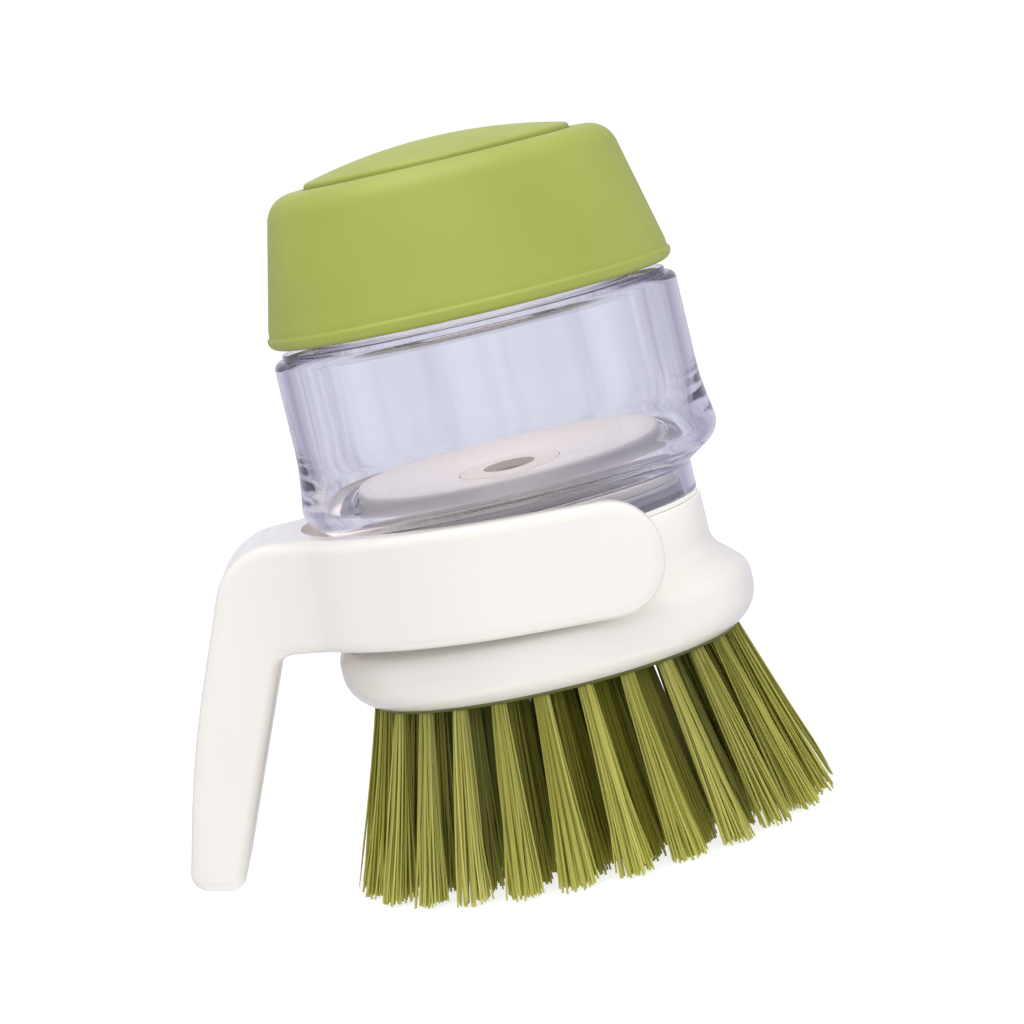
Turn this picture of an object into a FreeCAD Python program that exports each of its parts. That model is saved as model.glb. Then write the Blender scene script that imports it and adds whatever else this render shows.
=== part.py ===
import FreeCAD, Part
import math
import os

# Palm dish brush with a push-button soap tank, parked in a one-legged stand that slides onto its neck.
# Millimetres. +Z is the brush's axis, z = 0 is the plane of the bristle tips and the origin is on the axis.
# The stand's fork opens towards +X and its leg hangs at -X.

# Bristles and the block that holds them
BRISTLE_LENGTH = 33.4
BRISTLE_SPLAY = 15.4
TUFT_RADIUS = 1.6
TUFT_TIP_RADIUS = 3.4
TUFT_HOLE_DEPTH = 5.0
TUFT_HOLE_FIT = 0.05
TUFT_EDGE_MARGIN = 0.4
TUFT_RING_GAP = 0.8
TUFT_SIDE_GAP = 3.4
TUFT_RINGS = 5
ANCHOR_THICKNESS = 0.5
ANCHOR_HEIGHT = 1.5
BLOCK_WEB = 2.0
BLOCK_EDGE_RADIUS = 0.8

# Brush head: flange, collar and the plug that is the tank's floor
FLANGE_OVERHANG = 1.25
FLANGE_LIP = 4.0
FLANGE_TOP_HEIGHT = 10.5
FLANGE_TOP_RADIUS = 4.5
FLANGE_BELLY_RADIUS = 7.0
BLOCK_FIT = 0.1
HEAD_HEIGHT = 25.2
HEAD_NECK_STEP = 0.4
HEAD_NECK_FOOT = 15.8
HEAD_NECK_SWEEP = 5.0
HEAD_WALL = 2.6
PLUG_HEIGHT = 12.4
FLOOR_DISH = 2.6
FLOOR_WALL = 2.4
FEED_BORE = 5.0
FEED_WALL = 2.5
WASHER_THICKNESS = 1.0
SEAL_HEIGHT = 2.5
SEAL_WIDTH = 2.1
SEAL_REST = 1.6
SEAL_FIT = 0.1
WASHER_CLEARANCE = 0.3

# Slit valve in the floor
VALVE_FLANGE_RADIUS = 8.6
VALVE_FLANGE_THICKNESS = 1.0
VALVE_NOSE_LENGTH = 3.6
VALVE_SKIN = 1.0
VALVE_SLIT_WIDTH = 0.4
VALVE_FIT = 0.1
RETAINER_THICKNESS = 1.4
RETAINER_WIDTH = 4.6

# Screw threads at both ends of the tank
THREAD_PITCH = 4.0
THREAD_DEPTH = 0.9
THREAD_ROOT_WIDTH = 1.7
THREAD_TIP_WIDTH = 0.9
THREAD_CLEARANCE = 0.3
THREAD_MALE_TURNS = 1.0
THREAD_FEMALE_TURNS = 0.9

# Clear tank
LOWER_NECK_WALL = 2.6
LOWER_NECK_HEIGHT = 5.4
NECK_SETBACK = 5.05
TANK_FLARE = 1.65
TANK_BASE_RISE = 4.4
TANK_FLARE_HEIGHT = 10.1
TANK_RADIUS = 37.85
TANK_BODY_HEIGHT = 34.6
TANK_WALL = 2.45
TANK_LIP_RISE = 4.3
TANK_ROOF_WALL = 1.3
TANK_EDGE_RADIUS = 1.6
TANK_BASE_EDGE_RADIUS = 4.5
LEDGE_SETBACK = 1.85
LEDGE_HEIGHT = 1.0
MOUTH_WALL = 2.4
MOUTH_HEIGHT = 12.0

# Cap, its threaded insert and the air pump
CAP_GAP = 2.1
CAP_HEIGHT = 27.3
CAP_OVERHANG = 0.1
CAP_TAPER = 13.2
CAP_SHOULDER_RADIUS = 5.5
CAP_WALL = 2.05
CAP_ROOF_WALL = 2.2
CAP_BAND_HEIGHT = 2.3
CAP_BAND_STEP = 0.25
CAP_RIM_EDGE_RADIUS = 1.8
INSERT_WALL = 2.0
INSERT_DECK = 2.0
INSERT_FLANGE = 1.5
INSERT_RIM_RECESS = 0.8
INSERT_FIT = 0.05
INSERT_GAP = 0.23
AIR_HOLE_RADIUS = 6.0
GASKET_THICKNESS = 1.0
GASKET_MARGIN = 0.2
BELLOWS_GAP = 0.7
BELLOWS_SETBACK = 2.9
BELLOWS_FOLD = 2.6
BELLOWS_FOLDS = 2
BELLOWS_WALL = 1.2
BELLOWS_FLANGE = 4.0
CLAMP_RING_HEIGHT = 1.6
CLAMP_RING_GAP = 0.6
CLAMP_WALL = 1.6

# Push button
BUTTON_SETBACK = 6.94
BUTTON_CLEARANCE = 0.3
BUTTON_PROUD = 0.95
BUTTON_CROWN = 3.1
BUTTON_WALL = 2.0
BUTTON_FLANGE_WIDTH = 3.5
BUTTON_FLANGE_THICKNESS = 1.8
BUTTON_TRAVEL = 4.0
BUTTON_STOP_GAP = 0.3
BUTTON_BOSS_RADIUS = 8.0
BUTTON_EDGE_RADIUS = 0.45

# Stand: a fork round the neck, and one leg
FORK_CLEARANCE = 0.3
FORK_WALL = 4.6
FORK_SEAT_OFFSET = 1.0
FORK_SAG = 1.1
FORK_TILT = 3.0
ARM_REACH = 22.6
ARM_HEIGHT = 20.6
ARM_END_RADIUS = 9.5
GUIDE_CLEARANCE = 0.6
GUIDE_END_MARGIN = 0.9
GUIDE_REACH = 14.0
GUIDE_ROOT = 0.4
STEM_DEPTH = 28.0
STEM_BLEND_RADIUS = 24.0
STEM_CORNER_RADIUS = 12.0
LEG_SETBACK = 2.2
LEG_CROTCH_RADIUS = 3.0
LEG_LEAN = 19.9
LEG_KNEE_RISE = 25.3
LEG_KNEE_LEAN = 12.0
LEG_KNEE_RADIUS = 200.0
LEG_TOP_LEAN = 19.2
FOOT_HEIGHT = 3.9
FOOT_LENGTH = 9.9
FOOT_LIFT = 10.3
FOOT_EDGE_RADIUS = 3.2
FOOT_CORNER_RADIUS = 10.0
FOOT_CORNER_REACH = 4.0
STAND_EDGE_RADIUS = 2.2

# Radii and levels worked out from the sizes above
FLANGE_RADIUS = TANK_RADIUS + FLANGE_OVERHANG
TANK_BASE_RADIUS = TANK_RADIUS + TANK_FLARE
CAP_RIM_RADIUS = TANK_RADIUS + CAP_OVERHANG
LOWER_NECK_RADIUS = TANK_RADIUS - NECK_SETBACK
NECK_BORE = LOWER_NECK_RADIUS - LOWER_NECK_WALL
HEAD_NECK_RADIUS = LOWER_NECK_RADIUS + HEAD_NECK_STEP
PLUG_RADIUS = NECK_BORE - THREAD_DEPTH - THREAD_CLEARANCE

UNDERSIDE_Z = BRISTLE_LENGTH
BLOCK_RADIUS = FLANGE_RADIUS - FLANGE_LIP
BLOCK_THICKNESS = TUFT_HOLE_DEPTH + BLOCK_WEB
BLOCK_TOP_Z = UNDERSIDE_Z + BLOCK_THICKNESS
NECK_FOOT_Z = UNDERSIDE_Z + HEAD_NECK_FOOT
COLLAR_Z = UNDERSIDE_Z + HEAD_HEIGHT
PLUG_TOP_Z = COLLAR_Z + PLUG_HEIGHT
RETAINER_RADIUS = VALVE_FLANGE_RADIUS + VALVE_FIT + FEED_WALL / 3
FLOOR_Z = PLUG_TOP_Z - FLOOR_DISH
VALVE_SEAT_Z = FLOOR_Z - RETAINER_THICKNESS - VALVE_FLANGE_THICKNESS
HUB_RADIUS = RETAINER_RADIUS + FEED_WALL
HUB_CEILING_Z = VALVE_SEAT_Z - FLOOR_WALL
SEAL_Z = COLLAR_Z + SEAL_REST
SEAL_RADIUS = NECK_BORE - SEAL_FIT

TANK_BOTTOM_Z = COLLAR_Z + WASHER_THICKNESS
TANK_BASE_Z = TANK_BOTTOM_Z + LOWER_NECK_HEIGHT
TANK_KNEE_Z = TANK_BASE_Z + TANK_BASE_RISE
SHOULDER_Z = TANK_BASE_Z + TANK_BODY_HEIGHT
LEDGE_Z = SHOULDER_Z + LEDGE_HEIGHT
MOUTH_TOP_Z = LEDGE_Z + MOUTH_HEIGHT
WALL_LOW_Z = TANK_KNEE_Z + TANK_FLARE_HEIGHT
BASE_SLOPE = TANK_BASE_RISE / (TANK_BASE_RADIUS - LOWER_NECK_RADIUS)
WALL_HIGH_Z = SHOULDER_Z - TANK_ROOF_WALL - TANK_WALL

CAP_RIM_Z = SHOULDER_Z + CAP_GAP
CAP_BAND_Z = CAP_RIM_Z + CAP_BAND_HEIGHT
CAP_TOP_Z = CAP_RIM_Z + CAP_HEIGHT
CAP_SLOPE = math.tan(math.radians(CAP_TAPER))
CAP_TOP_RADIUS = CAP_RIM_RADIUS - CAP_BAND_STEP - (CAP_TOP_Z - CAP_BAND_Z) * CAP_SLOPE
BUTTON_RADIUS = CAP_TOP_RADIUS - BUTTON_SETBACK
BUTTON_EDGE_Z = CAP_TOP_Z + BUTTON_PROUD
BUTTON_FLANGE_RADIUS = BUTTON_RADIUS + BUTTON_FLANGE_WIDTH
BUTTON_FLANGE_TOP_Z = CAP_TOP_Z - CAP_ROOF_WALL - BUTTON_CLEARANCE
BUTTON_FLANGE_Z = BUTTON_FLANGE_TOP_Z - BUTTON_FLANGE_THICKNESS
STOP_TOP_Z = BUTTON_FLANGE_Z - BUTTON_TRAVEL - BUTTON_STOP_GAP

DECK_Z = MOUTH_TOP_Z + GASKET_THICKNESS
DECK_TOP_Z = DECK_Z + INSERT_DECK
INSERT_SKIRT = CAP_TOP_RADIUS + (CAP_TOP_Z - DECK_TOP_Z) * CAP_SLOPE - CAP_WALL - INSERT_GAP
INSERT_BORE = INSERT_SKIRT - INSERT_WALL
MOUTH_OUTER = INSERT_BORE - THREAD_DEPTH - THREAD_CLEARANCE
MOUTH_RADIUS = MOUTH_OUTER - MOUTH_WALL
BELLOWS_TOP_Z = BUTTON_FLANGE_Z - BELLOWS_GAP
BELLOWS_RADIUS = BUTTON_RADIUS - BELLOWS_SETBACK
CLAMP_RADIUS = BELLOWS_RADIUS + BELLOWS_FLANGE + CLAMP_WALL

FORK_Z = (NECK_FOOT_Z + TANK_BASE_Z) / 2 - FORK_SAG
FORK_INNER = max(FLANGE_RADIUS, TANK_BASE_RADIUS) + FORK_CLEARANCE
FORK_OUTER = FORK_INNER + FORK_WALL
ARM_TOP_Z = FORK_Z + ARM_HEIGHT / 2
ARM_BOTTOM_Z = FORK_Z - ARM_HEIGHT / 2
LEG_INNER_X = FORK_SEAT_OFFSET + FORK_OUTER + LEG_SETBACK
LEG_DROP = ARM_BOTTOM_Z - FOOT_HEIGHT

AXIS = FreeCAD.Vector(0, 0, 1)
ORIGIN = FreeCAD.Vector(0, 0, 0)


def corner_cut(before, corner, after, radius):
    """Return the start, middle and end of the arc that rounds a corner."""
    to_before = (before - corner).normalize()
    to_after = (after - corner).normalize()
    half_angle = to_before.getAngle(to_after) / 2
    bisector = (to_before + to_after).normalize()
    centre = corner + bisector * (radius / math.sin(half_angle))
    setback = radius / math.tan(half_angle)
    return corner + to_before * setback, centre - bisector * radius, corner + to_after * setback


def rounded_wire(corners, place):
    """Return a closed wire through (u, v, radius) corners, with place(u, v) giving each point in space."""
    points = [place(u, v) for u, v, _ in corners]
    edges = []
    first = None
    last = None
    for index, (_, _, radius) in enumerate(corners):
        corner = points[index]
        if radius > 0:
            following = points[(index + 1) % len(points)]
            start, middle, end = corner_cut(points[index - 1], corner, following, radius)
        else:
            start, middle, end = corner, None, corner
        if last is not None:
            edges.append(Part.LineSegment(last, start).toShape())
        if middle is not None:
            edges.append(Part.Arc(start, middle, end).toShape())
        first = first or start
        last = end
    edges.append(Part.LineSegment(last, first).toShape())
    return Part.Wire(edges)


def turned(corners):
    """Turn a closed (radius, height, corner radius) outline round the brush's axis."""
    wire = rounded_wire(corners, lambda r, z: FreeCAD.Vector(r, 0, z))
    return Part.Face(wire).revolve(ORIGIN, AXIS, 360)


def ring(inner, outer, low, high):
    """Return a plain ring round the brush's axis."""
    return turned([(inner, low, 0), (outer, low, 0), (outer, high, 0), (inner, high, 0)])


def disc(radius, low, high):
    """Return a plain disc on the brush's axis."""
    return Part.makeCylinder(radius, high - low, FreeCAD.Vector(0, 0, low), AXIS)


def thread_ridge(root, tip, low, turns, start_angle):
    """Return one right-handed screw ridge that rises from the root radius to the tip radius."""
    helix = Part.makeHelix(THREAD_PITCH, THREAD_PITCH * turns, root)
    buried = root - math.copysign(THREAD_CLEARANCE, tip - root)
    section = [
        FreeCAD.Vector(buried, 0, -THREAD_ROOT_WIDTH / 2),
        FreeCAD.Vector(tip, 0, -THREAD_TIP_WIDTH / 2),
        FreeCAD.Vector(tip, 0, THREAD_TIP_WIDTH / 2),
        FreeCAD.Vector(buried, 0, THREAD_ROOT_WIDTH / 2),
    ]
    wire = Part.makePolygon(section + section[:1])
    ridge = Part.Wire(helix.Edges).makePipeShell([wire], True, True)
    ridge.rotate(ORIGIN, AXIS, start_angle)
    ridge.translate(FreeCAD.Vector(0, 0, low))
    return ridge


def male_thread(root, low):
    """Return the outside thread of a neck or plug whose wall has the root radius."""
    return thread_ridge(root, root + THREAD_DEPTH, low, THREAD_MALE_TURNS, 0)


def female_thread(bore, low):
    """Return the inside thread of a bore, half a pitch away from the male thread that starts at low."""
    return thread_ridge(bore, bore - THREAD_DEPTH, low, THREAD_FEMALE_TURNS, 180)


def single(shape):
    """Return the one solid of a boolean result."""
    return shape.Solids[0]


def tuft_layout():
    """Return, for each ring from the outside in, its root radius, lean in radians and tuft angles."""
    outer = BLOCK_RADIUS - TUFT_RADIUS - TUFT_EDGE_MARGIN
    spread = 1 + BRISTLE_LENGTH * math.tan(math.radians(BRISTLE_SPLAY)) / outer
    ring_pitch = (2 * TUFT_TIP_RADIUS + TUFT_RING_GAP) / spread
    layout = []
    for index in range(TUFT_RINGS):
        radius = outer - index * ring_pitch
        lean = math.atan(radius * (spread - 1) / BRISTLE_LENGTH)
        count = int(2 * math.pi * radius * spread / (2 * TUFT_TIP_RADIUS + TUFT_SIDE_GAP))
        stagger = 180 / count if index % 2 else 0
        layout.append((radius, lean, [stagger + 360 * step / count for step in range(count)]))
    return layout


def stand_on_root(shape, radius, lean, angle):
    """Move a shape modelled along +Z at the origin to a tuft's root, leaning inwards as it rises."""
    shape.rotate(ORIGIN, FreeCAD.Vector(0, 1, 0), -math.degrees(lean))
    shape.translate(FreeCAD.Vector(radius, 0, UNDERSIDE_Z))
    shape.rotate(ORIGIN, AXIS, angle)
    return shape


def tuft(radius, lean, angle):
    """Return one tuft: a round root in its hole and a fanned-out free length trimmed at the tip plane."""
    root_length = TUFT_HOLE_DEPTH - ANCHOR_HEIGHT
    root = Part.makeCylinder(TUFT_RADIUS, root_length)
    overshoot = 2 * TUFT_TIP_RADIUS
    free = BRISTLE_LENGTH / math.cos(lean)
    fan = Part.makeCone(TUFT_RADIUS, TUFT_TIP_RADIUS, free, ORIGIN, -AXIS)
    brush_end = Part.makeCylinder(TUFT_TIP_RADIUS, overshoot, -AXIS * free, -AXIS)
    whole = stand_on_root(single(root.fuse([fan, brush_end])), radius, lean, angle)
    reach = 2 * (radius + BRISTLE_LENGTH)
    corner = FreeCAD.Vector(-reach, -reach, 0)
    keep = Part.makeBox(2 * reach, 2 * reach, BRISTLE_LENGTH + TUFT_HOLE_DEPTH, corner)
    return whole.common(keep).Solids[0]


def tuft_hole(radius, lean, angle):
    """Return the drill for one tuft's hole, which starts below the block's face."""
    mouth = 2 * TUFT_RADIUS
    drill = Part.makeCylinder(TUFT_RADIUS + TUFT_HOLE_FIT, TUFT_HOLE_DEPTH + mouth, -AXIS * mouth)
    return stand_on_root(drill, radius, lean, angle)


def tuft_anchor(radius, lean, angle):
    """Return the staple across the bottom of one tuft's hole."""
    width = 2 * math.sqrt(TUFT_RADIUS ** 2 - (ANCHOR_THICKNESS / 2) ** 2)
    corner = FreeCAD.Vector(-ANCHOR_THICKNESS / 2, -width / 2, TUFT_HOLE_DEPTH - ANCHOR_HEIGHT)
    return stand_on_root(Part.makeBox(ANCHOR_THICKNESS, width, ANCHOR_HEIGHT, corner), radius, lean, angle)


def tuft_block():
    """Return the drilled disc in the head's underside, with the soap outlet in its middle."""
    body = turned([
        (FEED_BORE, UNDERSIDE_Z, 0),
        (BLOCK_RADIUS, UNDERSIDE_Z, BLOCK_EDGE_RADIUS),
        (BLOCK_RADIUS, BLOCK_TOP_Z, 0),
        (FEED_BORE, BLOCK_TOP_Z, 0),
    ])
    drills = [tuft_hole(radius, lean, angle) for radius, lean, angles in tuft_layout() for angle in angles]
    return single(body.cut(drills))


def brush_head():
    """Return the white head: flange, collar and threaded plug, with a hollow for the feed tube."""
    pocket = BLOCK_RADIUS + BLOCK_FIT
    body = turned([
        (FEED_BORE, UNDERSIDE_Z, 0),
        (FLANGE_RADIUS, UNDERSIDE_Z, FLANGE_BELLY_RADIUS),
        (FLANGE_RADIUS, UNDERSIDE_Z + FLANGE_TOP_HEIGHT, FLANGE_TOP_RADIUS),
        (HEAD_NECK_RADIUS, NECK_FOOT_Z, HEAD_NECK_SWEEP),
        (HEAD_NECK_RADIUS, COLLAR_Z, 0),
        (PLUG_RADIUS, COLLAR_Z, 0),
        (PLUG_RADIUS, SEAL_Z, 0),
        (PLUG_RADIUS - SEAL_WIDTH / 2, SEAL_Z, 0),
        (PLUG_RADIUS - SEAL_WIDTH / 2, SEAL_Z + SEAL_HEIGHT + SEAL_FIT, 0),
        (PLUG_RADIUS, SEAL_Z + SEAL_HEIGHT + SEAL_FIT, 0),
        (PLUG_RADIUS, PLUG_TOP_Z, THREAD_DEPTH),
        (PLUG_RADIUS - HEAD_WALL, PLUG_TOP_Z, 0),
        (RETAINER_RADIUS + VALVE_FIT, FLOOR_Z, 0),
        (RETAINER_RADIUS + VALVE_FIT, VALVE_SEAT_Z, 0),
        (FEED_BORE, VALVE_SEAT_Z, 0),
    ])
    ceiling = PLUG_TOP_Z - FLOOR_WALL - THREAD_DEPTH
    hollow = turned([
        (0, BLOCK_TOP_Z, 0),
        (HEAD_NECK_RADIUS - HEAD_WALL, BLOCK_TOP_Z, 0),
        (HEAD_NECK_RADIUS - HEAD_WALL, COLLAR_Z - 2 * HEAD_WALL, 0),
        (PLUG_RADIUS - SEAL_WIDTH / 2 - HEAD_WALL, COLLAR_Z - HEAD_WALL / 2, 0),
        (PLUG_RADIUS - SEAL_WIDTH / 2 - HEAD_WALL, ceiling, 0),
        (HUB_RADIUS, FLOOR_Z - FLOOR_WALL, 0),
        (HUB_RADIUS, HUB_CEILING_Z, 0),
        (0, HUB_CEILING_Z, 0),
    ])
    seat = disc(pocket, UNDERSIDE_Z, BLOCK_TOP_Z)
    thread = male_thread(PLUG_RADIUS, SEAL_Z + SEAL_HEIGHT + THREAD_PITCH / 2)
    return single(body.cut([hollow, seat]).fuse(thread))


def feed_tube():
    """Return the tube that leads soap from the valve through the hollow head to the tuft block."""
    return ring(FEED_BORE, FEED_BORE + FEED_WALL, BLOCK_TOP_Z, HUB_CEILING_Z)


def slit_valve():
    """Return the silicone valve: a flange on the seat and a hollow nose with a slit in its end."""
    nose_radius = FEED_BORE - 4 * VALVE_FIT
    nose_z = VALVE_SEAT_Z - VALVE_NOSE_LENGTH
    top = VALVE_SEAT_Z + VALVE_FLANGE_THICKNESS
    body = turned([
        (0, nose_z, 0),
        (nose_radius, nose_z, VALVE_SKIN),
        (nose_radius, VALVE_SEAT_Z, 0),
        (VALVE_FLANGE_RADIUS, VALVE_SEAT_Z, 0),
        (VALVE_FLANGE_RADIUS, top, 0),
        (nose_radius - VALVE_SKIN, top, 0),
        (nose_radius - VALVE_SKIN, nose_z + VALVE_SKIN, 0),
        (0, nose_z + VALVE_SKIN, 0),
    ])
    slit_length = 2 * (nose_radius - 2 * VALVE_SKIN)
    corner = FreeCAD.Vector(-slit_length / 2, -VALVE_SLIT_WIDTH / 2, nose_z - VALVE_SKIN)
    return single(body.cut(Part.makeBox(slit_length, VALVE_SLIT_WIDTH, 3 * VALVE_SKIN, corner)))


def valve_retainer():
    """Return the ring pressed into the floor over the valve's flange."""
    low = VALVE_SEAT_Z + VALVE_FLANGE_THICKNESS
    return ring(RETAINER_RADIUS - RETAINER_WIDTH, RETAINER_RADIUS, low, low + RETAINER_THICKNESS)


def plug_seal():
    """Return the grey seal in the plug's groove."""
    inner = PLUG_RADIUS - SEAL_WIDTH / 2
    return ring(inner, SEAL_RADIUS, SEAL_Z, SEAL_Z + SEAL_HEIGHT)


def neck_washer():
    """Return the flat washer between the head's collar and the end of the tank's neck."""
    return ring(SEAL_RADIUS + WASHER_CLEARANCE, LOWER_NECK_RADIUS, COLLAR_Z, TANK_BOTTOM_Z)


def trough_z(radius):
    """Return the height of the trough in the tank's base, one wall above its sloping underside."""
    return TANK_BASE_Z + TANK_WALL * math.hypot(1, BASE_SLOPE) + BASE_SLOPE * (radius - LOWER_NECK_RADIUS)


def tank_moulding():
    """Return the whole clear tank, with a threaded neck at each end."""
    inner = TANK_RADIUS - TANK_WALL
    lip = NECK_BORE + TANK_WALL
    lip_z = TANK_BASE_Z + TANK_LIP_RISE
    body = turned([
        (MOUTH_OUTER, MOUTH_TOP_Z, MOUTH_WALL / 4),
        (MOUTH_OUTER, LEDGE_Z, MOUTH_WALL / 3),
        (TANK_RADIUS - LEDGE_SETBACK, LEDGE_Z, LEDGE_HEIGHT / 3),
        (TANK_RADIUS - LEDGE_SETBACK, SHOULDER_Z, 0),
        (TANK_RADIUS, SHOULDER_Z, TANK_EDGE_RADIUS),
        (TANK_RADIUS, WALL_LOW_Z, 10 * TANK_BASE_EDGE_RADIUS),
        (TANK_BASE_RADIUS, TANK_KNEE_Z, TANK_BASE_EDGE_RADIUS),
        (LOWER_NECK_RADIUS, TANK_BASE_Z, LOWER_NECK_WALL / 3),
        (LOWER_NECK_RADIUS, TANK_BOTTOM_Z, LOWER_NECK_WALL / 5),
        (NECK_BORE, TANK_BOTTOM_Z, 0),
        (NECK_BORE, lip_z, TANK_WALL / 6),
        (lip, lip_z, TANK_WALL / 6),
        (lip, trough_z(lip), TANK_WALL / 6),
        (inner, trough_z(inner), TANK_WALL / 2),
        (inner, SHOULDER_Z - TANK_ROOF_WALL, TANK_WALL / 5),
        (MOUTH_RADIUS, SHOULDER_Z - TANK_ROOF_WALL, MOUTH_WALL / 3),
        (MOUTH_RADIUS, MOUTH_TOP_Z, MOUTH_WALL / 4),
    ])
    lower = female_thread(NECK_BORE, SEAL_Z + SEAL_HEIGHT + THREAD_PITCH / 2)
    upper = male_thread(MOUTH_OUTER, LEDGE_Z + THREAD_PITCH)
    return single(body.fuse([lower, upper]))


def tank_nodes():
    """Return the tank in three runs that meet face to face: base with lower neck, wall, top with mouth."""
    whole = tank_moulding()
    radius = 2 * TANK_BASE_RADIUS
    runs = {
        "tank_base": (TANK_BOTTOM_Z - THREAD_PITCH, WALL_LOW_Z),
        "tank": (WALL_LOW_Z, WALL_HIGH_Z),
        "tank_top": (WALL_HIGH_Z, MOUTH_TOP_Z + THREAD_PITCH),
    }
    return {name: single(whole.common(disc(radius, low, high))) for name, (low, high) in runs.items()}


def cap_side(z):
    """Return the outside radius of the cap's tapered side at a height."""
    return CAP_TOP_RADIUS + (CAP_TOP_Z - z) * CAP_SLOPE


def cap_shell():
    """Return the tapered cap with its rim band and the button's hole."""
    hole = BUTTON_RADIUS + BUTTON_CLEARANCE
    roof_z = CAP_TOP_Z - CAP_ROOF_WALL
    inner_corner = CAP_SHOULDER_RADIUS - CAP_WALL - CAP_BAND_STEP
    return turned([
        (hole, CAP_TOP_Z, BUTTON_CLEARANCE),
        (CAP_TOP_RADIUS, CAP_TOP_Z, CAP_SHOULDER_RADIUS),
        (cap_side(CAP_BAND_Z), CAP_BAND_Z, 0),
        (CAP_RIM_RADIUS, CAP_BAND_Z, CAP_BAND_STEP / 2),
        (CAP_RIM_RADIUS, CAP_RIM_Z, CAP_RIM_EDGE_RADIUS),
        (cap_side(CAP_RIM_Z) - CAP_WALL, CAP_RIM_Z, 0),
        (cap_side(roof_z) - CAP_WALL, roof_z, inner_corner),
        (hole, roof_z, BUTTON_CLEARANCE),
    ])


def cap_insert():
    """Return the threaded inner cap: skirt, rim flange, air-hole deck and the button's stop wall."""
    rim_z = CAP_RIM_Z + INSERT_RIM_RECESS
    flange_top = rim_z + INSERT_FLANGE
    flange = cap_side(flange_top) - CAP_WALL - INSERT_FIT
    clamp_bore = CLAMP_RADIUS + INSERT_FIT
    body = turned([
        (INSERT_BORE, rim_z, 0),
        (flange, rim_z, 0),
        (flange, flange_top, 0),
        (INSERT_SKIRT, flange_top, 0),
        (INSERT_SKIRT, DECK_TOP_Z, INSERT_WALL / 2),
        (clamp_bore + CLAMP_WALL, DECK_TOP_Z, 0),
        (clamp_bore + CLAMP_WALL, STOP_TOP_Z, 0),
        (clamp_bore, STOP_TOP_Z, 0),
        (clamp_bore, DECK_TOP_Z, 0),
        (AIR_HOLE_RADIUS, DECK_TOP_Z, 0),
        (AIR_HOLE_RADIUS, DECK_Z, 0),
        (INSERT_BORE, DECK_Z, 0),
    ])
    return single(body.fuse(female_thread(INSERT_BORE, LEDGE_Z + THREAD_PITCH)))


def cap_gasket():
    """Return the flat gasket between the tank's mouth and the insert's deck."""
    return ring(MOUTH_RADIUS + GASKET_MARGIN, MOUTH_OUTER + GASKET_MARGIN, MOUTH_TOP_Z, DECK_Z)


def pump_bellows():
    """Return the silicone bellows that stands on the deck under the button."""
    flange_top = DECK_TOP_Z + BELLOWS_WALL
    top = BELLOWS_TOP_Z
    rise = (top - BELLOWS_WALL - flange_top) / (2 * BELLOWS_FOLDS)
    flange = BELLOWS_RADIUS + BELLOWS_FLANGE
    outer = [(flange, DECK_TOP_Z, 0), (flange, flange_top, 0)]
    inner = [(BELLOWS_RADIUS - BELLOWS_WALL, DECK_TOP_Z, 0)]
    for step in range(2 * BELLOWS_FOLDS + 1):
        radius = BELLOWS_RADIUS - (BELLOWS_FOLD if step % 2 else 0)
        height = flange_top + rise * step
        outer.append((radius, height, 0))
        inner.append((radius - BELLOWS_WALL, height, 0))
    outer += [(BELLOWS_RADIUS, top, 0), (0, top, 0), (0, top - BELLOWS_WALL, 0)]
    return turned(outer + inner[::-1])


def bellows_ring():
    """Return the ring that clamps the bellows' flange to the deck, inside the stop wall."""
    low = DECK_TOP_Z + BELLOWS_WALL
    return ring(BELLOWS_RADIUS + CLAMP_RING_GAP, CLAMP_RADIUS, low, low + CLAMP_RING_HEIGHT)


def dome_arc(radius, edge_z, crown):
    """Return the arc of a shallow dome from its edge to its crown on the axis."""
    sphere = (radius ** 2 + crown ** 2) / (2 * crown)
    half = math.asin(radius / sphere) / 2
    middle = FreeCAD.Vector(sphere * math.sin(half), 0, edge_z + crown - sphere * (1 - math.cos(half)))
    crown_point = FreeCAD.Vector(0, 0, edge_z + crown)
    return Part.Arc(FreeCAD.Vector(radius, 0, edge_z), middle, crown_point).toShape()


def push_button():
    """Return the domed button: a hollow cup with a stop flange below the cap's roof and a boss inside."""
    inner = BUTTON_RADIUS - BUTTON_WALL
    under_z = BUTTON_EDGE_Z - BUTTON_WALL
    boss_z = BELLOWS_TOP_Z + BUTTON_CLEARANCE / 3
    outside = dome_arc(BUTTON_RADIUS, BUTTON_EDGE_Z, BUTTON_CROWN)
    inside = dome_arc(inner, under_z, BUTTON_CROWN - BUTTON_WALL / 10)
    corners = [
        (BUTTON_RADIUS, BUTTON_EDGE_Z),
        (BUTTON_RADIUS, BUTTON_FLANGE_TOP_Z),
        (BUTTON_FLANGE_RADIUS, BUTTON_FLANGE_TOP_Z),
        (BUTTON_FLANGE_RADIUS, BUTTON_FLANGE_Z),
        (inner, BUTTON_FLANGE_Z),
        (inner, under_z),
    ]
    side = Part.makePolygon([FreeCAD.Vector(r, 0, z) for r, z in corners])
    centre = Part.LineSegment(inside.Vertexes[-1].Point, outside.Vertexes[-1].Point).toShape()
    section = Part.Face(Part.Wire(Part.__sortEdges__([outside, inside, centre] + side.Edges)))
    cup = section.revolve(ORIGIN, AXIS, 360)
    boss = disc(BUTTON_BOSS_RADIUS, boss_z, BUTTON_EDGE_Z + BUTTON_CROWN / 2)
    whole = single(cup.fuse(boss))
    rim = [edge for edge in whole.Edges if on_circle(edge, BUTTON_RADIUS, BUTTON_EDGE_Z)]
    return whole.makeFillet(BUTTON_EDGE_RADIUS, rim).Solids[0]


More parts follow.
